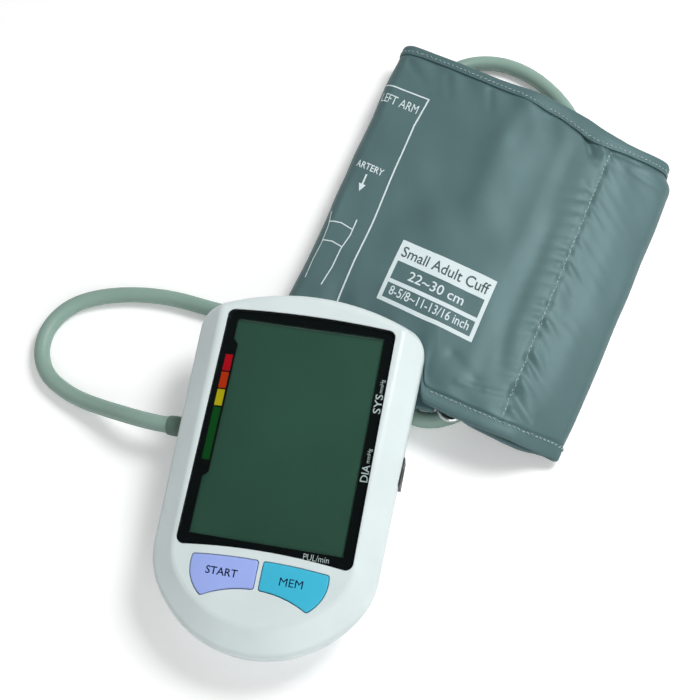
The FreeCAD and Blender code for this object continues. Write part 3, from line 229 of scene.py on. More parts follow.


# Shared by all moulded and rubbery pieces: slow changes of tone, a fine grain, and edges
# with rounded shading normals, lightened by a painted highlight.
moulded, enter, leave = shared_surface("moulded_surface", "Grain")
place = add(moulded, "ShaderNodeTexCoord")
slow = add(moulded, "ShaderNodeTexNoise", {"Scale": 38, "Detail": 3, "Roughness": 0.55})
fine = add(moulded, "ShaderNodeTexNoise", {"Detail": 4, "Roughness": 0.6})
tone = map_range(moulded, 0.3, 0.7, 0.955, 1.03)
tint = add(moulded, "ShaderNodeMix", {"Factor": 1.0}, data_type="RGBA", blend_type="MULTIPLY")
gloss = add(moulded, "ShaderNodeMath", {1: 0.16, 2: -0.08}, operation="MULTIPLY_ADD")
total = add(moulded, "ShaderNodeMath", operation="ADD")
soft_edge = add(moulded, "ShaderNodeBevel", {"Radius": 0.0005}, samples=4)
flat = add(moulded, "ShaderNodeNewGeometry")
likeness = add(moulded, "ShaderNodeVectorMath", operation="DOT_PRODUCT")
# Painted highlight: the colour is lightened where the rounded edge normal turns away from the flat
# one.
edge_highlight_mask = map_range(moulded, 0.995, 0.9, 0, 0.35)
painted_edge_highlight = add(moulded, "ShaderNodeMix", data_type="RGBA", blend_type="SCREEN")
set_inputs(painted_edge_highlight, {"B": (0.06, 0.06, 0.06, 1)})
bump = add(moulded, "ShaderNodeBump", {"Strength": 1.0})
join(moulded, (place, "Object", slow, "Vector"), (place, "Object", fine, "Vector"),
     (enter, "Grain", fine, "Scale"), (slow, "Fac", tone, "Value"), (enter, "Color", tint, "A"),
     (tone, "Result", tint, "B"), (soft_edge, "Normal", likeness, 0),
     (flat, "Normal", likeness, 1), (likeness, "Value", edge_highlight_mask, "Value"),
     (edge_highlight_mask, "Result", painted_edge_highlight, "Factor"), (tint, "Result", painted_edge_highlight, "A"),
     (painted_edge_highlight, "Result", leave, "Color"), (slow, "Fac", gloss, 0), (gloss, "Value", total, 0),
     (enter, "Roughness", total, 1), (total, "Value", leave, "Roughness"),
     (fine, "Fac", bump, "Height"), (enter, "Depth", bump, "Distance"),
     (soft_edge, "Normal", bump, "Normal"), (bump, "Normal", leave, "Normal"))


def moulded_material(name, colour, roughness, grain=1500, depth=0.00003, **shader_values):
    """A material with the moulded surface."""
    return surfaced_material(name, moulded, {"Color": colour, "Roughness": roughness,
                                             "Grain": grain, "Depth": depth}, shader_values)


def dress(material, *names):
    """Gives a material to CAD nodes that are shown as they are."""
    for name in names:
        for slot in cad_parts[name].material_slots:
            slot.material = material


silicone = moulded_material("hose_silicone", rgb(142, 170, 159), 0.42, grain=700,
                            depth=0.00002, Subsurface_Weight=0.08, Subsurface_Scale=0.002,
                            Specular_IOR_Level=0.4)
finish_piece(air_hose, silicone, None, sharp=60)
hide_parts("air_hose")

# --- Air plug ---
# Moulded end piece of the hose: a hollow stem that seals in the monitor's socket, and a
# sleeve that grips the end of the hose. Its colour is the hose's grey-green darkened as painted
# shade, for the shadow it lies in beside the casing.
def revolve(name, profile, centre, sides=48):
    """A closed piece of revolution about +X, from a closed profile of (x, radius)."""
    bm = bmesh.new()
    rings = []
    for x, radius in profile:
        turn = [2 * math.pi * i / sides for i in range(sides)]
        rings.append([bm.verts.new(at(x, centre[0] + radius * math.cos(a),
                                      centre[1] + radius * math.sin(a))) for a in turn])
    for a, b in zip(rings, rings[1:] + rings[:1]):
        for i in range(sides):
            j = (i + 1) % sides
            bm.faces.new((a[i], a[j], b[j], b[i]))
    bmesh.ops.recalc_face_normals(bm, faces=bm.faces)
    return new_piece(name, bm)


plug_profile = [(-35.6, 1.2), (-35.6, 2.3), (-35.9, 2.6), (-38.4, 2.6), (-44.55, 2.6),
                (-44.6, 3.7), (-44.9, 4.15), (-45.4, 4.3), (-48.4, 4.3), (-51.6, 4.3),
                (-53.4, 4.22), (-54.4, 4.05), (-54.9, 3.8), (-55.0, 3.56), (-50.66, 3.56),
                (-50.66, 1.2)]
air_plug = revolve("hose_plug", plug_profile, (3.0, 16.0))
# The plug's grey-green is darker than the hose's as painted shade.
finish_piece(air_plug, moulded_material("plug_plastic_painted_shade", rgb(96, 122, 110), 0.45), "plug",
             sharp=50)
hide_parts("air_plug")
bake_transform(air_hose)

# --- Casing ---
# Two injection-moulded ABS halves, satin white, screwed together from below. The parting line
# runs all round, just under the sloping flank.
casing_white = moulded_material("casing_white", rgb(218, 230, 230), 0.34, grain=2400,
                                depth=0.000012, Specular_IOR_Level=0.45)
dress(casing_white, "front_cover", "rear_cover")
dress(moulded_material("casing_door_white", rgb(220, 231, 232), 0.4, grain=1800,
                       depth=0.00003), "battery_door")

# --- Feet and screws ---
# Four rubber discs glued into recesses of the base, and four zinc-plated screws sunk in
# tubes between them.
dress(moulded_material("foot_rubber", rgb(58, 60, 62), 0.78, grain=900, depth=0.00008),
      "rubber_feet")
dress(moulded_material("screw_zinc", rgb(170, 172, 174), 0.36, grain=3000, depth=0.00001,
                       Metallic=1.0), "case_screws", "board_screws")

# --- Display lens ---
# Flat acrylic window set flush in the face and glued along its border. Clear, with a polished
# top that is rubbed a little dull in places.
lens_clear, tree, shader = new_material("lens_acrylic")
tree.nodes.remove(shader)
through = add(tree, "ShaderNodeBsdfTransparent", {"Color": (0.93, 0.96, 0.95, 1)})
mirror = add(tree, "ShaderNodeBsdfGlossy", {"Roughness": 0.06})
haze = add(tree, "ShaderNodeTexNoise", {"Scale": 60, "Detail": 5})
place = add(tree, "ShaderNodeTexCoord")
rub = map_range(tree, 0.4, 0.8, 0.03, 0.12)
edge = add(tree, "ShaderNodeFresnel", {"IOR": 1.3})
both = add(tree, "ShaderNodeMixShader")
join(tree, (place, "Object", haze, "Vector"), (haze, "Fac", rub, "Value"),
     (rub, "Result", mirror, "Roughness"), (edge, "Fac", both, "Fac"), (through, "BSDF", both, 1),
     (mirror, "BSDF", both, 2), (both, "Shader", tree.nodes["Material Output"], "Surface"))
dress(lens_clear, "display_lens")

# --- Printed border ---
# Black border printed on the back of the lens, with a step beside the four level marks. The
# marks and the labels of the readings are printed with it.
face_tilt, face_height = math.radians(6.4), 36.0
print_level = -1.65           # of the prints between the border and the lens, over the face


def on_face(x, y, height):
    """A point of the sloping face: x and y along it from the datum, and height over it."""
    return at(x, y * math.cos(face_tilt) - height * math.sin(face_tilt),
              face_height + y * math.sin(face_tilt) + height * math.cos(face_tilt))


upward = (on_face(0, 0, 1) - on_face(0, 0, 0)).normalized()


def merged_copy(node, name, change):
    """A new piece from a CAD node's mesh, with its points merged and its flats made whole, and
    then changed."""
    bm = bmesh.new()
    bm.from_mesh(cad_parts[node].data)
    bmesh.ops.remove_doubles(bm, verts=bm.verts, dist=2e-6)
    bmesh.ops.dissolve_limit(bm, angle_limit=math.radians(0.5), verts=bm.verts, edges=bm.edges)
    change(bm)
    bmesh.ops.recalc_face_normals(bm, faces=bm.faces)
    bm.verts.index_update()
    mesh = bpy.data.meshes.new(name)
    mesh.from_pydata([v.co for v in bm.verts], [], [[v.index for v in f.verts] for f in bm.faces])
    bm.free()
    return new_piece(name, mesh)


def lower_top(bm):
    """Leaves room for the marks between the border and the lens."""
    heights = {v: (v.co - on_face(0, 0, 0)).dot(upward) for v in bm.verts}
    for v, height in heights.items():
        if height > -0.00175:
            v.co -= upward * 0.0001


border = merged_copy("lens_mask", "printed_border", lower_top)
border_ink = moulded_material("border_ink", rgb(14, 20, 22), 0.3, grain=4000, depth=0.000004,
                              Specular_IOR_Level=0.05)
finish_piece(border, border_ink, "monitor", sharp=30)
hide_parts("lens_mask")


def lettering(words, height, width, bold=0.0):
    """Flat faces of a word in millimetres, with its middle at 0, as points and faces."""
    font = bpy.data.curves.new("lettering", "FONT")
    font.body = words
    font.offset = bold
    font.resolution_u = 3
    holder = new_piece("lettering", font)
    flat = bpy.data.meshes.new_from_object(holder)
    bpy.data.objects.remove(holder)
    xs, ys = [v.co.x for v in flat.vertices], [v.co.y for v in flat.vertices]
    tall = height / (max(ys) - min(ys))
    wide = width / (max(xs) - min(xs))
    middle = ((max(xs) + min(xs)) / 2, (max(ys) + min(ys)) / 2)
    points = [((v.co.x - middle[0]) * wide, (v.co.y - middle[1]) * tall)
              for v in flat.vertices]
    return points, [list(f.vertices) for f in flat.polygons]


def cut_in_cells(bm, cell, dist):
    """Cuts a mesh along a square grid, so that it can follow a curve."""
    for normal in ((1, 0, 0), (0, 1, 0)):
        values = [v.co.dot(normal) for v in bm.verts]
        for step in range(math.ceil(min(values) / cell), math.floor(max(values) / cell) + 1):
            bmesh.ops.bisect_plane(bm, geom=bm.verts[:] + bm.edges[:] + bm.faces[:],
                                   plane_co=[c * step * cell for c in normal],
                                   plane_no=normal, dist=dist)


def printed(name, shapes, put, cell=None):
    """One thin print from flat shapes, put on a piece by a function of x and y."""
    bm = bmesh.new()
    for points, faces in shapes:
        made = [bm.verts.new((x, y, 0)) for x, y in points]
        for face in faces:
            bm.faces.new([made[i] for i in face])
    if cell:
        cut_in_cells(bm, cell, 1e-5)
    for v in bm.verts:
        v.co = put(v.co.x, v.co.y)
    bmesh.ops.dissolve_degenerate(bm, dist=1e-7, edges=bm.edges)
    return new_piece(name, bm)


def face_print(name, shapes, height, material, body="monitor"):
    """A print on the monitor's face."""
    finish_piece(printed(name, shapes, lambda x, y: on_face(x, y, height)), material, body)


def moved(shape, x, y, turn=0.0):
    """A flat shape turned by some degrees and moved."""
    c, s = math.cos(math.radians(turn)), math.sin(math.radians(turn))
    return [(x + a * c - b * s, y + a * s + b * c) for a, b in shape[0]], shape[1]


def panel(x0, x1, y0, y1):
    """A flat rectangle."""
    return [(x0, y0), (x1, y0), (x1, y1), (x0, y1)], [[0, 1, 2, 3]]


def ink(name, colour, roughness=0.5, gloss=0.05):
    """Printing ink: nearly even, thinner in tiny spots."""
    return moulded_material(name, colour, roughness, grain=2500, depth=0.000004,
                            Specular_IOR_Level=gloss)


for name, colour, low, high in [("mark_red", rgb(214, 14, 34), 22.2, 29.4),
                                ("mark_orange", rgb(222, 62, 16), 14.6, 21.6),
                                ("mark_yellow", rgb(222, 200, 24), 7.0, 14.0),
                                ("mark_green", rgb(14, 88, 32), -16.0, 6.3)]:
    face_print(name, [panel(-32.8, -29.7, low, high)], print_level, ink(name, colour))

label_shapes = [moved(lettering("SYS", 3.1, 8.2, 0.01), 33.1, 17.6, 90),
                moved(lettering("mmHg", 2.1, 5.7), 33.5, 25.2, 90),
                moved(lettering("DIA", 3.1, 7.1, 0.01), 33.1, -11.6, 90),
                moved(lettering("mmHg", 2.1, 5.9), 33.5, -4.3, 90),
                moved(lettering("PUL/min", 2.5, 10.2), 20.5, -48.0)]
face_print("reading_labels", label_shapes, print_level, ink("label_white", rgb(226, 234, 236)))

# --- Display ---
# Switched-off liquid crystal glass under a dark green polariser, held in a moulded frame. The
# film is nearly matt, and slightly uneven in tone.
display_film, tree, shader = new_material("display_polariser")
place = add(tree, "ShaderNodeTexCoord")
cloud = add(tree, "ShaderNodeTexNoise", {"Scale": 14, "Detail": 2})
film = add(tree, "ShaderNodeValToRGB")
for stop, position, colour in zip(film.color_ramp.elements, (0.3, 0.7),
                                  (rgb(60, 97, 82), rgb(66, 107, 90))):
    stop.position, stop.color = position, colour
grain = add(tree, "ShaderNodeTexNoise", {"Scale": 3500, "Detail": 2})
bump = add(tree, "ShaderNodeBump", {"Strength": 1, "Distance": 0.000004})
join(tree, (place, "Object", cloud, "Vector"), (place, "Object", grain, "Vector"),
     (cloud, "Fac", film, "Fac"), (film, "Color", shader, "Base Color"),
     (grain, "Fac", bump, "Height"), (bump, "Normal", shader, "Normal"))
set_inputs(shader, {"Roughness": 0.38, "Specular IOR Level": 0.15})
dress(display_film, "lcd_panel")
face_print("display_edge", [panel(-30.7, 30.7, 45.35, 45.8)], -3.0,
           ink("edge_glue", rgb(150, 172, 166)))
dress(moulded_material("natural_abs", rgb(206, 208, 204), 0.5), "lcd_frame")
dress(moulded_material("strip_rubber", rgb(70, 72, 76), 0.7, grain=900), "contact_strip")

# --- Keys ---
# Two moulded keys side by side below the display, with rounded top edges and their words
# printed in navy. A thin dark gap runs round each.
def round_top(bm):
    """Rounds the edge of the key's top."""
    top = max(v.co.dot(upward) for v in bm.verts)
    rim = [e for e in bm.edges if all(v.co.dot(upward) > top - 2e-6 for v in e.verts)
           and any(f.normal.dot(upward) < 0.5 for f in e.link_faces)]
    bmesh.ops.bevel(bm, geom=rim, offset=0.00045, segments=4, profile=0.6, affect="EDGES",
                    clamp_overlap=True)


word_height, word_y, word_level = 3.1, -59.4, 0.53
for node, key, colour, words, middle, width, bold in [
        ("start_button", "start_key", rgb(160, 180, 244), "START", -14.4, 12.6, 0.012),
        ("memory_button", "memory_key", rgb(62, 188, 220), "MEM", 13.2, 9.2, 0.0)]:
    cap = merged_copy(node, node + "_cap", round_top)
    plastic = moulded_material(key + "_plastic", colour, 0.38, grain=2400, depth=0.00001)
    finish_piece(cap, plastic, key, sharp=35)
    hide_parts(node)
    face_print(key + "_word", [moved(lettering(words, word_height, width, bold), middle, word_y)],
               word_level, ink(key + "_ink", rgb(16, 26, 66)), key)

# --- Cuff cover ---
# Outer cloth of the closed cuff: coated nylon taffeta, grey-green, sewn to the lining along a
# long seam beside the bladder, where it puckers. It lies flat, and sags to the table at its
# right fold. Positions on it are in millimetres: w, round the section, and s, along the folds.
along_hem = Vector((math.cos(math.radians(-20)), math.sin(math.radians(-20))))
along_fold = Vector((math.cos(math.radians(77.8)), math.sin(math.radians(77.8))))
half_thick, core_z, fold_z = 6.4, 16.0, 6.7     # the section, and its height at the folds
left_end, sag_start, right_end = 6.4, 102.0, 133.6
slot_left, slot_right = 81.9, 95.3              # the ring's slot, underneath
cuff_corner = (-23.0, 61.1)
seam_w = 111.4


def smooth(value, low, high):
    """Rises softly from 0 at low to 1 at high."""
    t = min(max((value - low) / (high - low), 0), 1)
    return t * t * (3 - 2 * t)


def steps(start, end, count):
    """Values from start to end, the given number of equal steps."""
    return [start + (end - start) * i / count for i in range(count + 1)]


def section():
    """The closed cuff's outside in section, from the left of the ring's slot underneath,
    round the left fold, over the front and round the right fold: u, z and the normal."""
    spots = []

    def side_spot(u, sign):
        reach = max(u - sag_start, 0) / (right_end - sag_start)
        slope = -2 * (core_z - fold_z) * reach / (right_end - sag_start)
        size = math.hypot(slope, 1)
        n = (-slope / size * sign, sign / size)
        z = core_z - (core_z - fold_z) * reach * reach
        spots.append((u + n[0] * half_thick, z + n[1] * half_thick, *n))
        return math.atan2(n[1], n[0])

    def side(start, end, count, sign):
        return [side_spot(u, sign) for u in steps(start, end, count)][-1]

    def fold(u, z, start):
        for a in steps(start, start - math.pi, 16)[1:-1]:
            spots.append((u + half_thick * math.cos(a), z + half_thick * math.sin(a),
                          math.cos(a), math.sin(a)))

    side(slot_left, left_end, 30, -1)
    fold(left_end, core_z, -math.pi / 2)
    angle = side(left_end, right_end, 127, 1)
    fold(right_end, fold_z, angle)
    side(right_end, slot_right, 20, -1)
    return spots


cuff_section = section()
round_at = [0.0]
for a, b in zip(cuff_section, cuff_section[1:]):
    round_at.append(round_at[-1] + math.hypot(a[0] - b[0], a[1] - b[1]))
front_start = next(i for i, spot in enumerate(cuff_section) if i > 31 and spot[3] > 0.999)
shift = cuff_section[front_start][0] - round_at[front_start]
round_at = [value + shift for value in round_at]


def between(table, value):
    """A value read off a table of pairs, with its corners evened out."""
    def straight(at_value):
        for (a, low), (b, high) in zip(table, table[1:]):
            if at_value <= b:
                return low + (high - low) * max(at_value - a, 0) / (b - a)
        return table[-1][1]
    return sum(straight(value + step) for step in (-1.4, -0.7, 0, 0.7, 1.4)) / 5


low_hem = [(-89, -4.2), (-84, -5.4), (-79.5, -6), (-77.6, -4), (-76.4, 1), (-74.6, 6), (-71, 10),
           (-66, 11.5), (-47, 9.5), (-27, 3.4), (-19, 0.8), (-13, 0.3), (-3, 0.3), (6, 1.2),
           (10, 3.4), (14, 6), (21, 12.4), (28, 13.4), (50, 13.6), (64, 13.2), (70, 10.6),
           (72.9, 5.2), (74.4, 0), (76, -4.8), (79, -6.1), (90, -6.1), (98, -5.6), (107, -4.7),
           (114, -3.6), (122, -1.9), (129, 0.7), (136, 2.8), (142, 3.8), (156, 4.9), (161, 3.6),
           (165, 1.9), (170, -0.1), (177, -1.4), (184, -1.9), (190, -2.1), (197, -1.5)]
high_hem = [(-89, 161.5), (-40, 161.6), (-14, 159.8), (-4, 158.4), (3, 158.6), (8, 158.9),
            (16, 159), (25, 159.2), (35, 158.9), (50, 158.5), (60, 158.7), (72, 159), (84, 158.5),
            (91, 157.8), (97, 156.9), (102, 155.6), (106, 154.7), (111, 154.3), (117, 154.1),
            (122, 154.8), (127, 155.9), (137, 158.6), (142, 159.6), (157, 161), (197, 161.2)]
top_depth = [(-89, 6.4), (0, 6.2), (12, 5.2), (46, 5.4), (61, 5.9), (68, 6.9), (76, 7.9), (84, 8),
             (91, 9), (98, 10), (103, 9.8), (111, 8), (119, 6.2), (127, 6), (140, 6.4), (197, 6.4)]
low_depth = [(-89, 6.2), (6, 6.2), (15, 2.2), (73.4, 2.2), (75, 3.4), (77.6, 6), (90, 6.9),
             (104, 6.7), (112, 6.3), (136, 7), (197, 6.4)]
# How far the two folds stand to the right of straight lines, along the cuff.
left_fold = [(0, 1.6), (33, 1.8), (56, 1.2), (67, 0.4), (78, 0), (90, -1), (114, -1.4),
             (126, -2.2), (139, -2.8), (162, -2.8)]
right_fold = [(0, -2.8), (9, -2.4), (19, -1.5), (39, -0.4), (60, 0.1), (81, 0.4), (103, 1.3),
              (126, 1.8), (149, 1.9), (153, -2), (162, -2.4)]
# Creases of the front: where each starts and ends, half its width, and its depth.
crease_pull = 1.1
creases = [
    ((98.6, 147.6), (104, 139.6), 1.6, 1.5), ((103.5, 140), (111, 134), 2.4, 0.7),
    ((113, 145), (137, 151), 1.3, 0.8), ((123, 142.2), (141, 143), 1.7, 0.6),
    ((111, 121), (105.6, 124.4), 1.2, 0.5), ((111.2, 118), (107.2, 116), 1.1, 0.4),
    ((112.6, 140.4), (121.4, 137.6), 1.4, 0.6), ((112.4, 110), (118, 106.5), 1.3, 0.4),
    ((112.4, 89.6), (119, 85.6), 1.5, 0.8), ((112.4, 76), (119.4, 71.6), 1.4, 0.8),
    ((112.4, 61), (119, 56.6), 1.6, 0.8), ((112.4, 45.6), (118.6, 40.4), 1.6, 0.9),
    ((112.4, 33.6), (119, 28.2), 1.8, 1), ((112.4, 16.6), (122.4, 9.6), 2.2, 1.9),
    ((82, 18.6), (94.7, 12.8), 2.8, 0.6), ((94.7, 12.8), (108, 15.8), 2.2, 0.4),
    ((70, 9), (76, 3), 3, 0.8), ((48, 150), (52, 140), 2, 0.6), ((6, 149), (16, 141), 2.4, 0.7),
    ((26, 149), (31, 139), 2.4, 0.5), ((66, 150), (63, 128), 5, -0.9),
    ((63, 128), (64, 92), 6, -0.8), ((88, 8.4), (100.7, 11), 0.9, -0.4),
    ((100.7, 11), (109.4, 13.2), 0.9, -0.4), ((115, 8.6), (125, 5.8), 1.6, -0.6),
    ((106.5, 145.6), (112, 139), 1.3, -0.6)]


def bell(distance, width):
    """1 at no distance, falling softly to nothing beyond the width."""
    return math.exp(-(distance / width) ** 2)


def waver(x, y, z):
    """Smooth noise round 0."""
    return noise.noise(Vector((x, y, z)))


def form(w, s):
    """The cloth's larger shape: the bladder's pillow, long soft valleys beside the seam, and
    the hem tucked down behind the casing."""
    if not -12 < w < 156:
        return 0.12 * waver(w / 30, s / 30, 5.0)
    low, high = between(low_hem, w), between(high_hem, w)
    inside = smooth(high - 8 - s, -1, 14) * smooth(s - low - 7, -1, 14)
    height = 0.7 * smooth(w, 30, 66) * (1 - smooth(w, 88, 97)) * inside
    height -= 2.5 * (1 - smooth(w, 6, 64))
    height += 1.2 * bell(w - 70, 10) * smooth(s, 70, 100)
    fade = smooth(s, 12, 30) * (1 - smooth(s, 88, 112))
    height -= 0.5 * bell(w - 98.8 - 6 * (1 - smooth(s, 10, 44)), 3.6) * fade
    fade = smooth(s, 8, 26) * (1 - smooth(s, 96, 128))
    height -= 0.6 * bell(w - 121, 4.6) * fade
    height -= 2.4 * math.exp(-max(s - low, 0) / 10) * smooth(w, 14, 24) * (1 - smooth(w, 64, 73))
    lean = (w + 0.45 * s, s - 0.35 * w)
    height += 1.0 * waver(lean[0] / 42, lean[1] / 30, 3.1) * (0.3 + 0.7 * inside)
    return height * smooth(w, -10, 8) * (1 - smooth(w, 138, 154))


def relief(w, s):
    """How far the cloth stands off its larger shape: the pulled-in seams with their puckers,
    and small loose folds."""
    if not -12 < w < 156:
        return 0.0
    low, high = between(low_hem, w), between(high_hem, w)
    from_top = high - between(top_depth, w) - s
    from_low = s - low - between(low_depth, w)
    inside = smooth(from_top, -1, 10) * smooth(from_low, -1, 10)
    height = 0.0
    for (w0, s0), (w1, s1), width, depth in creases:
        run, rise = w1 - w0, s1 - s0
        t = min(max(((w - w0) * run + (s - s0) * rise) / (run * run + rise * rise), 0), 1)
        away = ((w - w0 - run * t) ** 2 + (s - s0 - rise * t) ** 2) / (width * width)
        if away < 9:
            height -= crease_pull * depth * (1 - 0.55 * t) * math.exp(-away)
    # The long seam and the short creases that run from it, down to the right.
    beside = w - seam_w
    seam = smooth(from_top, -1.5, 1) * smooth(from_low, -2, 0)
    height -= 0.6 * bell(beside, 1) * seam
    wander = 2.2 * waver(0.4, s / 16, 2.0)
    if beside > 0:
        swell = math.exp(-beside / 6.0) * (1 - bell(beside, 1.3))
        strength = 0.5 + 0.6 * waver(4.4, s / 11, 0.0)
        height += strength * swell * math.sin(2 * math.pi * (s + 0.62 * beside + wander) / 7.4)
    else:
        swell = math.exp(beside / 4.5) * (1 - bell(beside, 1.2))
        strength = 0.4 + 0.5 * waver(8.4, s / 12, 3.0)
        height += strength * swell * math.sin(2 * math.pi * (s - 0.3 * beside + wander) / 6.6)
    # Gathers below the top hem and above the lower one.
    drift = 5 * waver(w / 26, 0.7, 9.0)
    for depth, reach, strength, slant, pitch in ((from_top, 9, 0.6, -0.55, 21),
                                                 (from_low, 8, 0.4, 0.4, 17)):
        gather = math.exp(-max(depth, 0) / reach) * smooth(depth, -1, 3)
        height += strength * gather * math.sin(2 * math.pi * (w + slant * depth + drift) / pitch)
    # The cloth pulls down beside the edge of each binding.
    height -= 0.7 * (bell(from_top, 0.7) + bell(from_low, 0.7))
    lean = (w + 0.45 * s, s - 0.35 * w)
    height += 0.5 * waver(lean[0] / 15, lean[1] / 20, 7.7) * inside
    # Nothing of it is left at the two folds.
    return height * smooth(w, -10, 8) * (1 - smooth(w, 134, 154))


def cuff_spot(w, s, lift=0.0, calm=1.0):
    """A point over the cuff's outside, so many millimetres off the cloth."""
    i = min(max(bisect.bisect(round_at, w) - 1, 0), len(round_at) - 2)
    t = (w - round_at[i]) / (round_at[i + 1] - round_at[i])
    u, z, nu, nz = [a + (b - a) * t for a, b in zip(cuff_section[i], cuff_section[i + 1])]
    off = lift + form(w, s) + calm * relief(w, s)
    z += nz * off
    # The left fold is pressed down all along, the right one flat at its lower corner.
    low = between(low_hem, w)
    z -= 1.6 * max(z - 9.6, 0) / 12.8 * bell(w + 5, 9)
    z -= 0.5 * (z - 1.0) * smooth(u, 116, 138) * math.exp(-max(s - low, 0) / 18)
    bow = between(left_fold, s) * bell(w + 3.5, 15) + between(right_fold, s) * bell(w - 146, 15)
    x, y = along_hem * (u + nu * off + bow) + along_fold * s
    return at(x + cuff_corner[0], y + cuff_corner[1], max(z, 0.02))


def cloth_grid(name, rounds, ups, place, thickness):
    """Cloth over a grid of w and v, thickened inward, with flat coordinates in metres for the
    weave."""
    bm = bmesh.new()
    flat = bm.loops.layers.uv.new("cloth")
    rows = [[(bm.verts.new(place(w, v)), w, v) for v in ups] for w in rounds]
    for a, b in zip(rows, rows[1:]):
        for i in range(len(ups) - 1):
            corners = (a[i], b[i], b[i + 1], a[i + 1])
            face = bm.faces.new([c[0] for c in corners])
            for loop, (_, w, v) in zip(face.loops, corners):
                loop[flat].uv = (w / 1000, v * 0.16)
    made = new_piece(name, bm)
    change = made.modifiers.new("thickness", "SOLIDIFY")
    change.thickness, change.offset, change.use_even_offset = thickness / 1000, -1, False
    bpy.ops.object.select_all(action="DESELECT")
    bpy.context.view_layer.objects.active = made
    made.select_set(True)
    bpy.ops.object.modifier_apply(modifier="thickness")
    return made


cuff_rounds = (steps(round_at[0], -14.0, 40) + steps(-13.0, 156.0, 169)
               + steps(157.5, round_at[-1], 24))


def cover_place(w, v):
    """v runs from hem to hem, and meets the bindings' edges at 0.04 and 0.96."""
    low, high = between(low_hem, w), between(high_hem, w)
    knots = [(0.0, low + 1.2), (0.04, low + between(low_depth, w)),
             (0.96, high - between(top_depth, w)), (1.0, high - 1.2)]
    for (a, s0), (b, s1) in zip(knots, knots[1:]):
        if v <= b:
            return cuff_spot(w, s0 + (s1 - s0) * (v - a) / (b - a))


cover_ups = (steps(0, 0.03, 3) + steps(0.033, 0.054, 7) + steps(0.061, 0.939, 124)
             + steps(0.946, 0.967, 7) + steps(0.972, 1, 3))


# Plain weave, seen as a fine grain, and a coating that gives a soft sheen.
woven, enter, leave = shared_surface("woven_cloth", "Threads")
flat_place = add(woven, "ShaderNodeUVMap", uv_map="cloth")
pull = add(woven, "ShaderNodeTexNoise", {"Scale": 260, "Detail": 2})
split = add(woven, "ShaderNodeSeparateXYZ")
cross = add(woven, "ShaderNodeMath", operation="MULTIPLY")
for i, axis in enumerate(("X", "Y")):
    turns = add(woven, "ShaderNodeMath", operation="MULTIPLY")
    sway = add(woven, "ShaderNodeMath", {1: 1.6}, operation="MULTIPLY_ADD")
    wave = add(woven, "ShaderNodeMath", operation="SINE")
    join(woven, (split, axis, turns, 0), (enter, "Threads", turns, 1), (pull, "Fac", sway, 0),
         (turns, "Value", sway, 2), (sway, "Value", wave, 0), (wave, "Value", cross, i))
blotch = add(woven, "ShaderNodeTexNoise", {"Scale": 24, "Detail": 4, "Roughness": 0.6})
thread_tone = map_range(woven, -1, 1, 0.90, 1.08)
blotch_tone = map_range(woven, 0.3, 0.7, 0.93, 1.06)
tones = add(woven, "ShaderNodeMath", operation="MULTIPLY")
tint = add(woven, "ShaderNodeMix", {"Factor": 1.0}, data_type="RGBA", blend_type="MULTIPLY")
rough = add(woven, "ShaderNodeMath", {1: 0.12}, operation="MULTIPLY_ADD")
bump = add(woven, "ShaderNodeBump", {"Strength": 1.0})
join(woven, (flat_place, "UV", split, "Vector"), (flat_place, "UV", pull, "Vector"),
     (flat_place, "UV", blotch, "Vector"), (cross, "Value", thread_tone, "Value"),
     (blotch, "Fac", blotch_tone, "Value"), (thread_tone, "Result", tones, 0),
     (blotch_tone, "Result", tones, 1), (enter, "Color", tint, "A"), (tones, "Value", tint, "B"),
     (tint, "Result", leave, "Color"), (blotch, "Fac", rough, 0), (enter, "Roughness", rough, 2),
     (rough, "Value", leave, "Roughness"), (cross, "Value", bump, "Height"),
     (enter, "Depth", bump, "Distance"), (bump, "Normal", leave, "Normal"))


def cloth_material(name, colour, roughness=0.5, pitch=0.42, depth=0.00003, **shader_values):
    """Woven cloth whose threads are the given pitch apart, in millimetres."""
    return surfaced_material(name, woven, {"Color": colour, "Roughness": roughness,
                                           "Threads": 2000 * math.pi / pitch, "Depth": depth},
                             shader_values)


cuff_cover = cloth_grid("cuff_outer_cloth", cuff_rounds, cover_ups, cover_place, 0.8)
coating = {"Specular_IOR_Level": 0.8, "Specular_Tint": (0.72, 0.98, 1.0, 1)}
cover_cloth = cloth_material("coated_nylon", rgb(76, 102, 104), 0.46, depth=0.000008,
                             Sheen_Weight=0.04, Sheen_Roughness=0.4, **coating)
finish_piece(cuff_cover, cover_cloth, "monitor", sharp=60)
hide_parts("cuff_cover")

# --- Cuff lining ---
# Inner cloth that faces the arm, softer and without a coating, sewn to the cover along its
# edges. Between them lies the rubber film of the bladder, under the front only.
def lining_place(w, v):
    """v runs from hem to hem, a little inside the cover."""
    low, high = between(low_hem, w), between(high_hem, w)
    return cuff_spot(w, low + 1.4 + (high - low - 2.8) * v, -1.8, 0.6)


lining = cloth_grid("cuff_lining_cloth", cuff_rounds, steps(0, 1, 80), lining_place, 0.6)
finish_piece(lining, cloth_material("lining_nylon", rgb(104, 124, 126), 0.65, pitch=0.5,
                                    Sheen_Weight=0.2), "monitor", sharp=60)
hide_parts("cuff_lining")

bladder = cloth_grid("bladder_film", steps(20, 102, 82), steps(0.1, 0.9, 80),
                     lambda w, v: cuff_spot(w, 160 * v + 1, -1.0, 0.8), 0.5)
finish_piece(bladder, moulded_material("bladder_film", rgb(120, 138, 136), 0.4, grain=900,
                                       depth=0.00002), "monitor", sharp=60)
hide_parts("cuff_bladder")

# --- Edge bindings ---
# Woven tape folded over both hems and sewn through with pale thread. It has the colour of the
# cloth, and stands slightly proud of it.
tape_cloth = cloth_material("binding_tape", rgb(76, 102, 104), 0.5, pitch=0.7, depth=0.00002,
                            **coating)


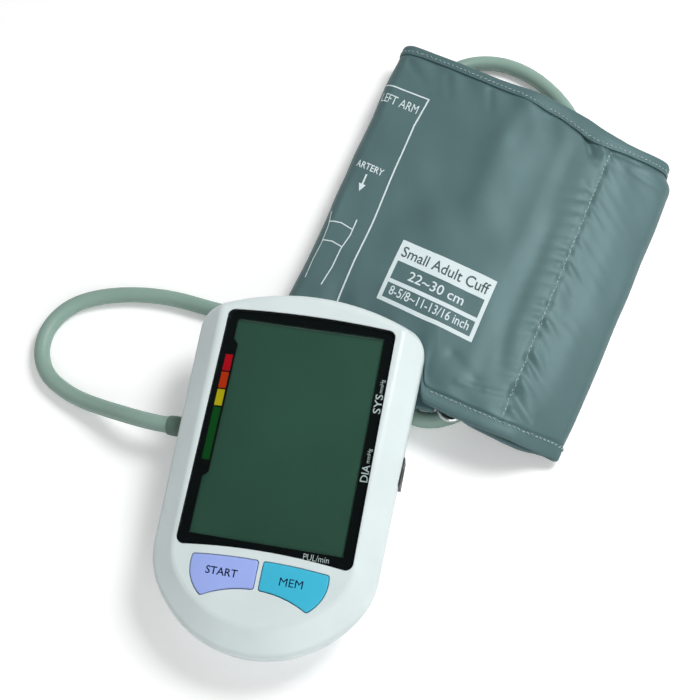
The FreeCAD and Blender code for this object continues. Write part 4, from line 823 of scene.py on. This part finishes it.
def hem_profile(depth):
    """Across the folded tape: how far in from the hem, and how far off the cloth."""
    return [(depth - 0.1, -0.35), (depth - 0.25, 0.34), (depth - 0.8, 0.44),
            (depth * 0.7, 0.34), (depth * 0.5, 0.46), (1.1, 0.42), (0.45, 0.1), (0.05, -0.5),
            (0.0, -1.2), (0.1, -1.9), (0.6, -2.5), (1.1, -2.62), (depth - 0.9, -2.6),
            (depth, -2.45), (depth - 0.5, -2.05), (depth * 0.5, -1.6), (depth - 0.6, -0.9)]


for name, table, depths, way in (("top_tape", high_hem, top_depth, -1),
                                 ("lower_tape", low_hem, low_depth, 1)):
    bm = bmesh.new()
    flat = bm.loops.layers.uv.new("cloth")
    rows = []
    for w in cuff_rounds:
        edge, depth = between(table, w), between(depths, w)
        ripple = 0.10 * waver(w / 6.5, way * 3.0, 1.5)
        row = []
        for i, (reach, lift) in enumerate(hem_profile(depth)):
            s = edge + way * reach
            row.append((bm.verts.new(cuff_spot(w, s, lift + ripple * (lift > 0), 0.2)), i))
        rows.append((row, w))
    count = len(rows[0][0])
    for (a, wa), (b, wb) in zip(rows, rows[1:]):
        for i in range(count):
            j = (i + 1) % count
            face = bm.faces.new((a[i][0], b[i][0], b[j][0], a[j][0]))
            for loop, (w, k) in zip(face.loops, ((wa, i), (wb, i), (wb, i + 1), (wa, i + 1))):
                loop[flat].uv = (w / 1000, k * 0.0012)
    for row, _ in (rows[0], rows[-1]):
        bm.faces.new([v for v, _ in row])
    bmesh.ops.recalc_face_normals(bm, faces=bm.faces)
    tape = new_piece(name, bm)
    finish_piece(tape, tape_cloth, "monitor", sharp=50)
    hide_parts("top_binding" if way < 0 else "bottom_binding")

# --- Stitching ---
# Pale polyester thread: one row along each binding and one down the long seam beside the
# bladder. Each stitch is a short twisted dash that dips into the cloth at its ends.
def stitch_row(bm, spots, pitch, length, width, calm):
    """Stitches along a list of (w, s, lift), a fixed distance apart."""
    gone, due = 0.0, pitch
    for (w0, s0, l0), (w1, s1, l1) in zip(spots, spots[1:]):
        step = math.hypot(w1 - w0, s1 - s0)
        while due <= gone + step:
            t = (due - gone) / step
            w, s, lift = w0 + (w1 - w0) * t, s0 + (s1 - s0) * t, l0 + (l1 - l0) * t
            along = ((w1 - w0) / step, (s1 - s0) / step)
            lean = 0.7 * waver(due, 0.3, s / 9)
            size = length * (1 + 0.5 * waver(due * 1.7, 4.2, 0.6))
            rings = []
            for reach, high, wide in ((-0.5, -0.12, 0.4), (-0.3, 0.14, 0.9), (0, 0.2, 1.0),
                                      (0.3, 0.14, 0.9), (0.5, -0.12, 0.4)):
                reach *= size
                sway = lean * (1 if reach > 0 else -1)
                centre = (w + along[0] * reach - along[1] * sway,
                          s + along[1] * reach + along[0] * sway)
                ring = []
                for a in range(0, 360, 60):
                    out = width / 2 * wide * math.cos(math.radians(a))
                    rise = width / 2 * wide * math.sin(math.radians(a))
                    ring.append(bm.verts.new(cuff_spot(
                        centre[0] - along[1] * out, centre[1] + along[0] * out,
                        lift + high + rise, calm)))
                rings.append(ring)
            for a, b in zip(rings, rings[1:]):
                for i in range(6):
                    bm.faces.new((a[i], a[(i + 1) % 6], b[(i + 1) % 6], b[i]))
            bm.faces.new(rings[0])
            bm.faces.new(rings[-1])
            due += pitch
        gone += step


bm = bmesh.new()
for table, depths, inset, way in ((high_hem, top_depth, 1.7, -1), (low_hem, low_depth, 1.1, 1)):
    for start, end in ((-80, 10), (77.2, 190)) if way > 0 else ((-80, 190),):
        stitch_row(bm, [(w, between(table, w) + way * (between(depths, w) - inset), 0.48)
                        for w in cuff_rounds if start < w < end], 2.2, 1.4, 0.42, 0.2)
stitch_row(bm, [(seam_w, s, 0.1) for s in steps(3.2, 145.6, 146)], 2.4, 1.7, 0.4, 1.0)
bmesh.ops.recalc_face_normals(bm, faces=bm.faces)
finish_piece(new_piece("cuff_stitches", bm),
             moulded_material("pale_thread", rgb(186, 206, 204), 0.6, grain=5000, depth=0.00004),
             "monitor", sharp=70)

# --- Cuff prints ---
# Screen prints in white on the coated cloth: a size panel in three rows, and at the left a
# frame with the words for the arm, an artery mark and a plain outline of an arm.
def band(points, width):
    """A line of even width through points, as one flat strip."""
    sides = []
    for i, (x, y) in enumerate(points):
        a, b = points[max(i - 1, 0)], points[min(i + 1, len(points) - 1)]
        dx, dy = b[0] - a[0], b[1] - a[1]
        size = math.hypot(dx, dy)
        nx, ny = -dy / size * width / 2, dx / size * width / 2
        sides.append(((x + nx, y + ny), (x - nx, y - ny)))
    flat = [p for pair in sides for p in pair]
    return flat, [[2 * i, 2 * i + 1, 2 * i + 3, 2 * i + 2] for i in range(len(points) - 1)]


def cuff_print(name, shapes, lift, ink_name, colour):
    """A print on the cuff's cloth."""
    made = printed(name, shapes, lambda w, s: cuff_spot(w, s, lift), cell=1.6)
    finish_piece(made, ink(ink_name, colour, 0.55, 0.4), "monitor")


left, right, low, high = 40.8, 87.4, 27.6, 59.0
rim, gap = 1.9, 2.0
row_top = high - 10.8
panel_shapes = [panel(left, right, row_top, high), panel(left, left + rim, low, row_top),
                panel(right - rim, right, low, row_top),
                panel(left + rim, right - rim, low, low + gap),
                panel(left + rim, right - rim, low + 9.3, low + 9.3 + gap),
                moved(lettering("22~30 cm", 4.9, 27.0, 0.008), 63.8, 43.4),
                moved(lettering("8-5/8~11-13/16 inch", 4.5, 38.8, 0.006), 64.2, 33.9),
                moved(lettering("LEFT ARM", 4.8, 19.4), 10.0, 125.3),
                moved(lettering("ARTERY", 3.6, 14.0, 0.01), 11.4, 86.0),
                ([(9.6, 76.6), (13.2, 76.6), (11.4, 72.6)], [[0, 2, 1]])]
# The frame's top and side, the arrow's shaft, the arm's two sides and the cuff on it.
panel_shapes += [band(points, width) for width, points in [
    (0.75, [(-6, 132.6), (4, 132.4), (22.7, 132.8)]),
    (0.75, [(22.4, 133.1), (21.4, 117), (22.3, 100), (22.7, 85), (23.9, 62),
            (24.2, 40), (25, 17)]),
    (0.8, [(11.4, 82), (11.4, 76.5)]),
    (0.6, [(1, 58), (3.6, 50), (4.6, 41), (4.2, 32), (5.4, 22)]),
    (0.6, [(16.4, 59), (16.8, 50), (15.6, 42), (15.8, 32), (14.8, 22)]),
    (0.6, [(3.2, 52.6), (10, 54.2), (16.9, 53.4)]),
    (0.6, [(4.6, 42.4), (10, 43.8), (15.8, 43.2)])]]
cuff_print("cuff_prints", panel_shapes, 0.13, "print_white", rgb(214, 228, 230))
cuff_print("cuff_title", [moved(lettering("Small Adult Cuff", 5.6, 42.8, 0.008), 64.2, 53.5)],
           0.2, "print_dark", rgb(66, 84, 88))

# --- D-ring ---
# Nickel-plated steel wire bent to a long loop and welded. Its rounded ends stand out past the
# hems. The plating is bright, with fine drawing marks.
dress(moulded_material("ring_nickel", rgb(214, 216, 216), 0.16, grain=2600, depth=0.000006,
                       Metallic=1.0), "d_ring")

# --- Cuff tail and ring loop ---
# Under the cuff, its end runs round the ring's left bar and back, and is held there by hook
# and loop tape. The other end is sewn round the ring's right bar.
def soft_copy(node, name, rounding):
    """A cloth piece from a CAD solid: edges rounded, faces cut finely and slightly uneven."""
    def change(bm):
        bmesh.ops.bevel(bm, geom=[e for e in bm.edges if e.calc_face_angle(0) > 0.5],
                        offset=rounding / 1000, segments=2, profile=0.6, affect="EDGES",
                        clamp_overlap=True)
        cut_in_cells(bm, 0.004, 1e-6)
        for v in bm.verts:
            v.co.z += 0.00012 * noise.noise(v.co * 160)
    made = merged_copy(node, name, change)
    flat = made.data.uv_layers.new(name="cloth")
    for loop in made.data.loops:
        x, y, _ = made.data.vertices[loop.vertex_index].co
        flat.data[loop.index].uv = (x * 0.94 - y * 0.342, x * 0.211 + y * 0.977)
    return made


# Each piece's rounding is in millimetres.
for node, name, slot, material, rounding in [
        ("cuff_tail", "tail_cloth", "cuff_cloth", cover_cloth, 0.2),
        ("ring_loop", "ring_loop_cloth", "cuff_cloth", cover_cloth, 0.2),
        ("hook_patch", "hook_tape", "hook_tape",
         cloth_material("hook_nylon", rgb(62, 74, 77), 0.8, pitch=1.1, depth=0.0004), 0.15),
        ("loop_patch", "loop_tape", "loop_tape",
         cloth_material("loop_pile", rgb(84, 100, 102), 0.95, pitch=0.9, depth=0.0003,
                        Sheen_Weight=0.5), 0.15)]:
    piece = soft_copy(node, name, rounding)
    finish_piece(piece, material, "monitor", sharp=60)
    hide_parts(node)

# --- Air port ---
# Moulded flange welded to the bladder through the cuff's underside, with a nipple along the
# table that carries the hose.
dress(moulded_material("port_plastic", rgb(116, 132, 130), 0.5), "cuff_port")

# --- Sockets ---
# In the left wall, a dark bush that the air plug seals in. In the right wall, a black barrel
# connector for mains power, with its centre pin.
dress(moulded_material("socket_bush", rgb(40, 48, 48), 0.45), "air_socket")
dress(moulded_material("seal_rubber", rgb(30, 32, 33), 0.6), "socket_seal")


def press_in(bm):
    """Sets the connector's outer face a little further into the wall."""
    outer = max(v.co.x for v in bm.verts)
    for v in bm.verts:
        if v.co.x > outer - 0.0009:
            v.co.x -= 0.0003


jack = merged_copy("power_jack", "mains_jack", press_in)
finish_piece(jack, moulded_material("jack_black", rgb(30, 34, 35), 0.42), "monitor",
             sharp=35)
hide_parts("power_jack")

# --- Circuit board ---
# Green two-sided board under the display, with its controller, small parts, pressure sensor,
# buzzer, and the silicone sheet with a dome under each key.
dress(moulded_material("board_green", rgb(32, 104, 62), 0.35, grain=700, depth=0.00002),
      "main_board")
dress(moulded_material("chip_epoxy", rgb(36, 37, 39), 0.6), "controller_chip", "board_parts",
      "buzzer")
dress(moulded_material("sensor_white", rgb(220, 221, 216), 0.45), "pressure_sensor")
dress(moulded_material("silicone_clear", rgb(196, 202, 198), 0.5, Subsurface_Weight=0.15,
                       Subsurface_Scale=0.002), "button_pad", "inner_tubes")

# --- Batteries ---
# Four cells side by side, in plain sleeves, between nickel-plated contact plates and coil
# springs.
dress(moulded_material("cell_sleeve", rgb(52, 96, 78), 0.3, grain=600, depth=0.00001,
                       Metallic=0.3), "battery_cells")
dress(moulded_material("contact_nickel", rgb(206, 206, 202), 0.25, grain=3000,
                       depth=0.000008, Metallic=1.0), "battery_springs", "battery_contacts")

# --- Pump and valve ---
# A can motor in a rubber sleeve drives a crank in the diaphragm head. A tee leads the air to
# the sensor and to the release valve with its sprung plunger.
dress(moulded_material("motor_steel", rgb(186, 188, 190), 0.3, grain=2600, depth=0.00001,
                       Metallic=1.0), "pump_motor", "valve_plunger")
dress(moulded_material("pump_nylon", rgb(50, 52, 55), 0.5), "pump_head", "release_valve",
      "air_tee")
dress(moulded_material("crank_acetal", rgb(226, 222, 208), 0.35), "pump_crank")
dress(moulded_material("sleeve_rubber", rgb(44, 46, 48), 0.75), "pump_sleeve")
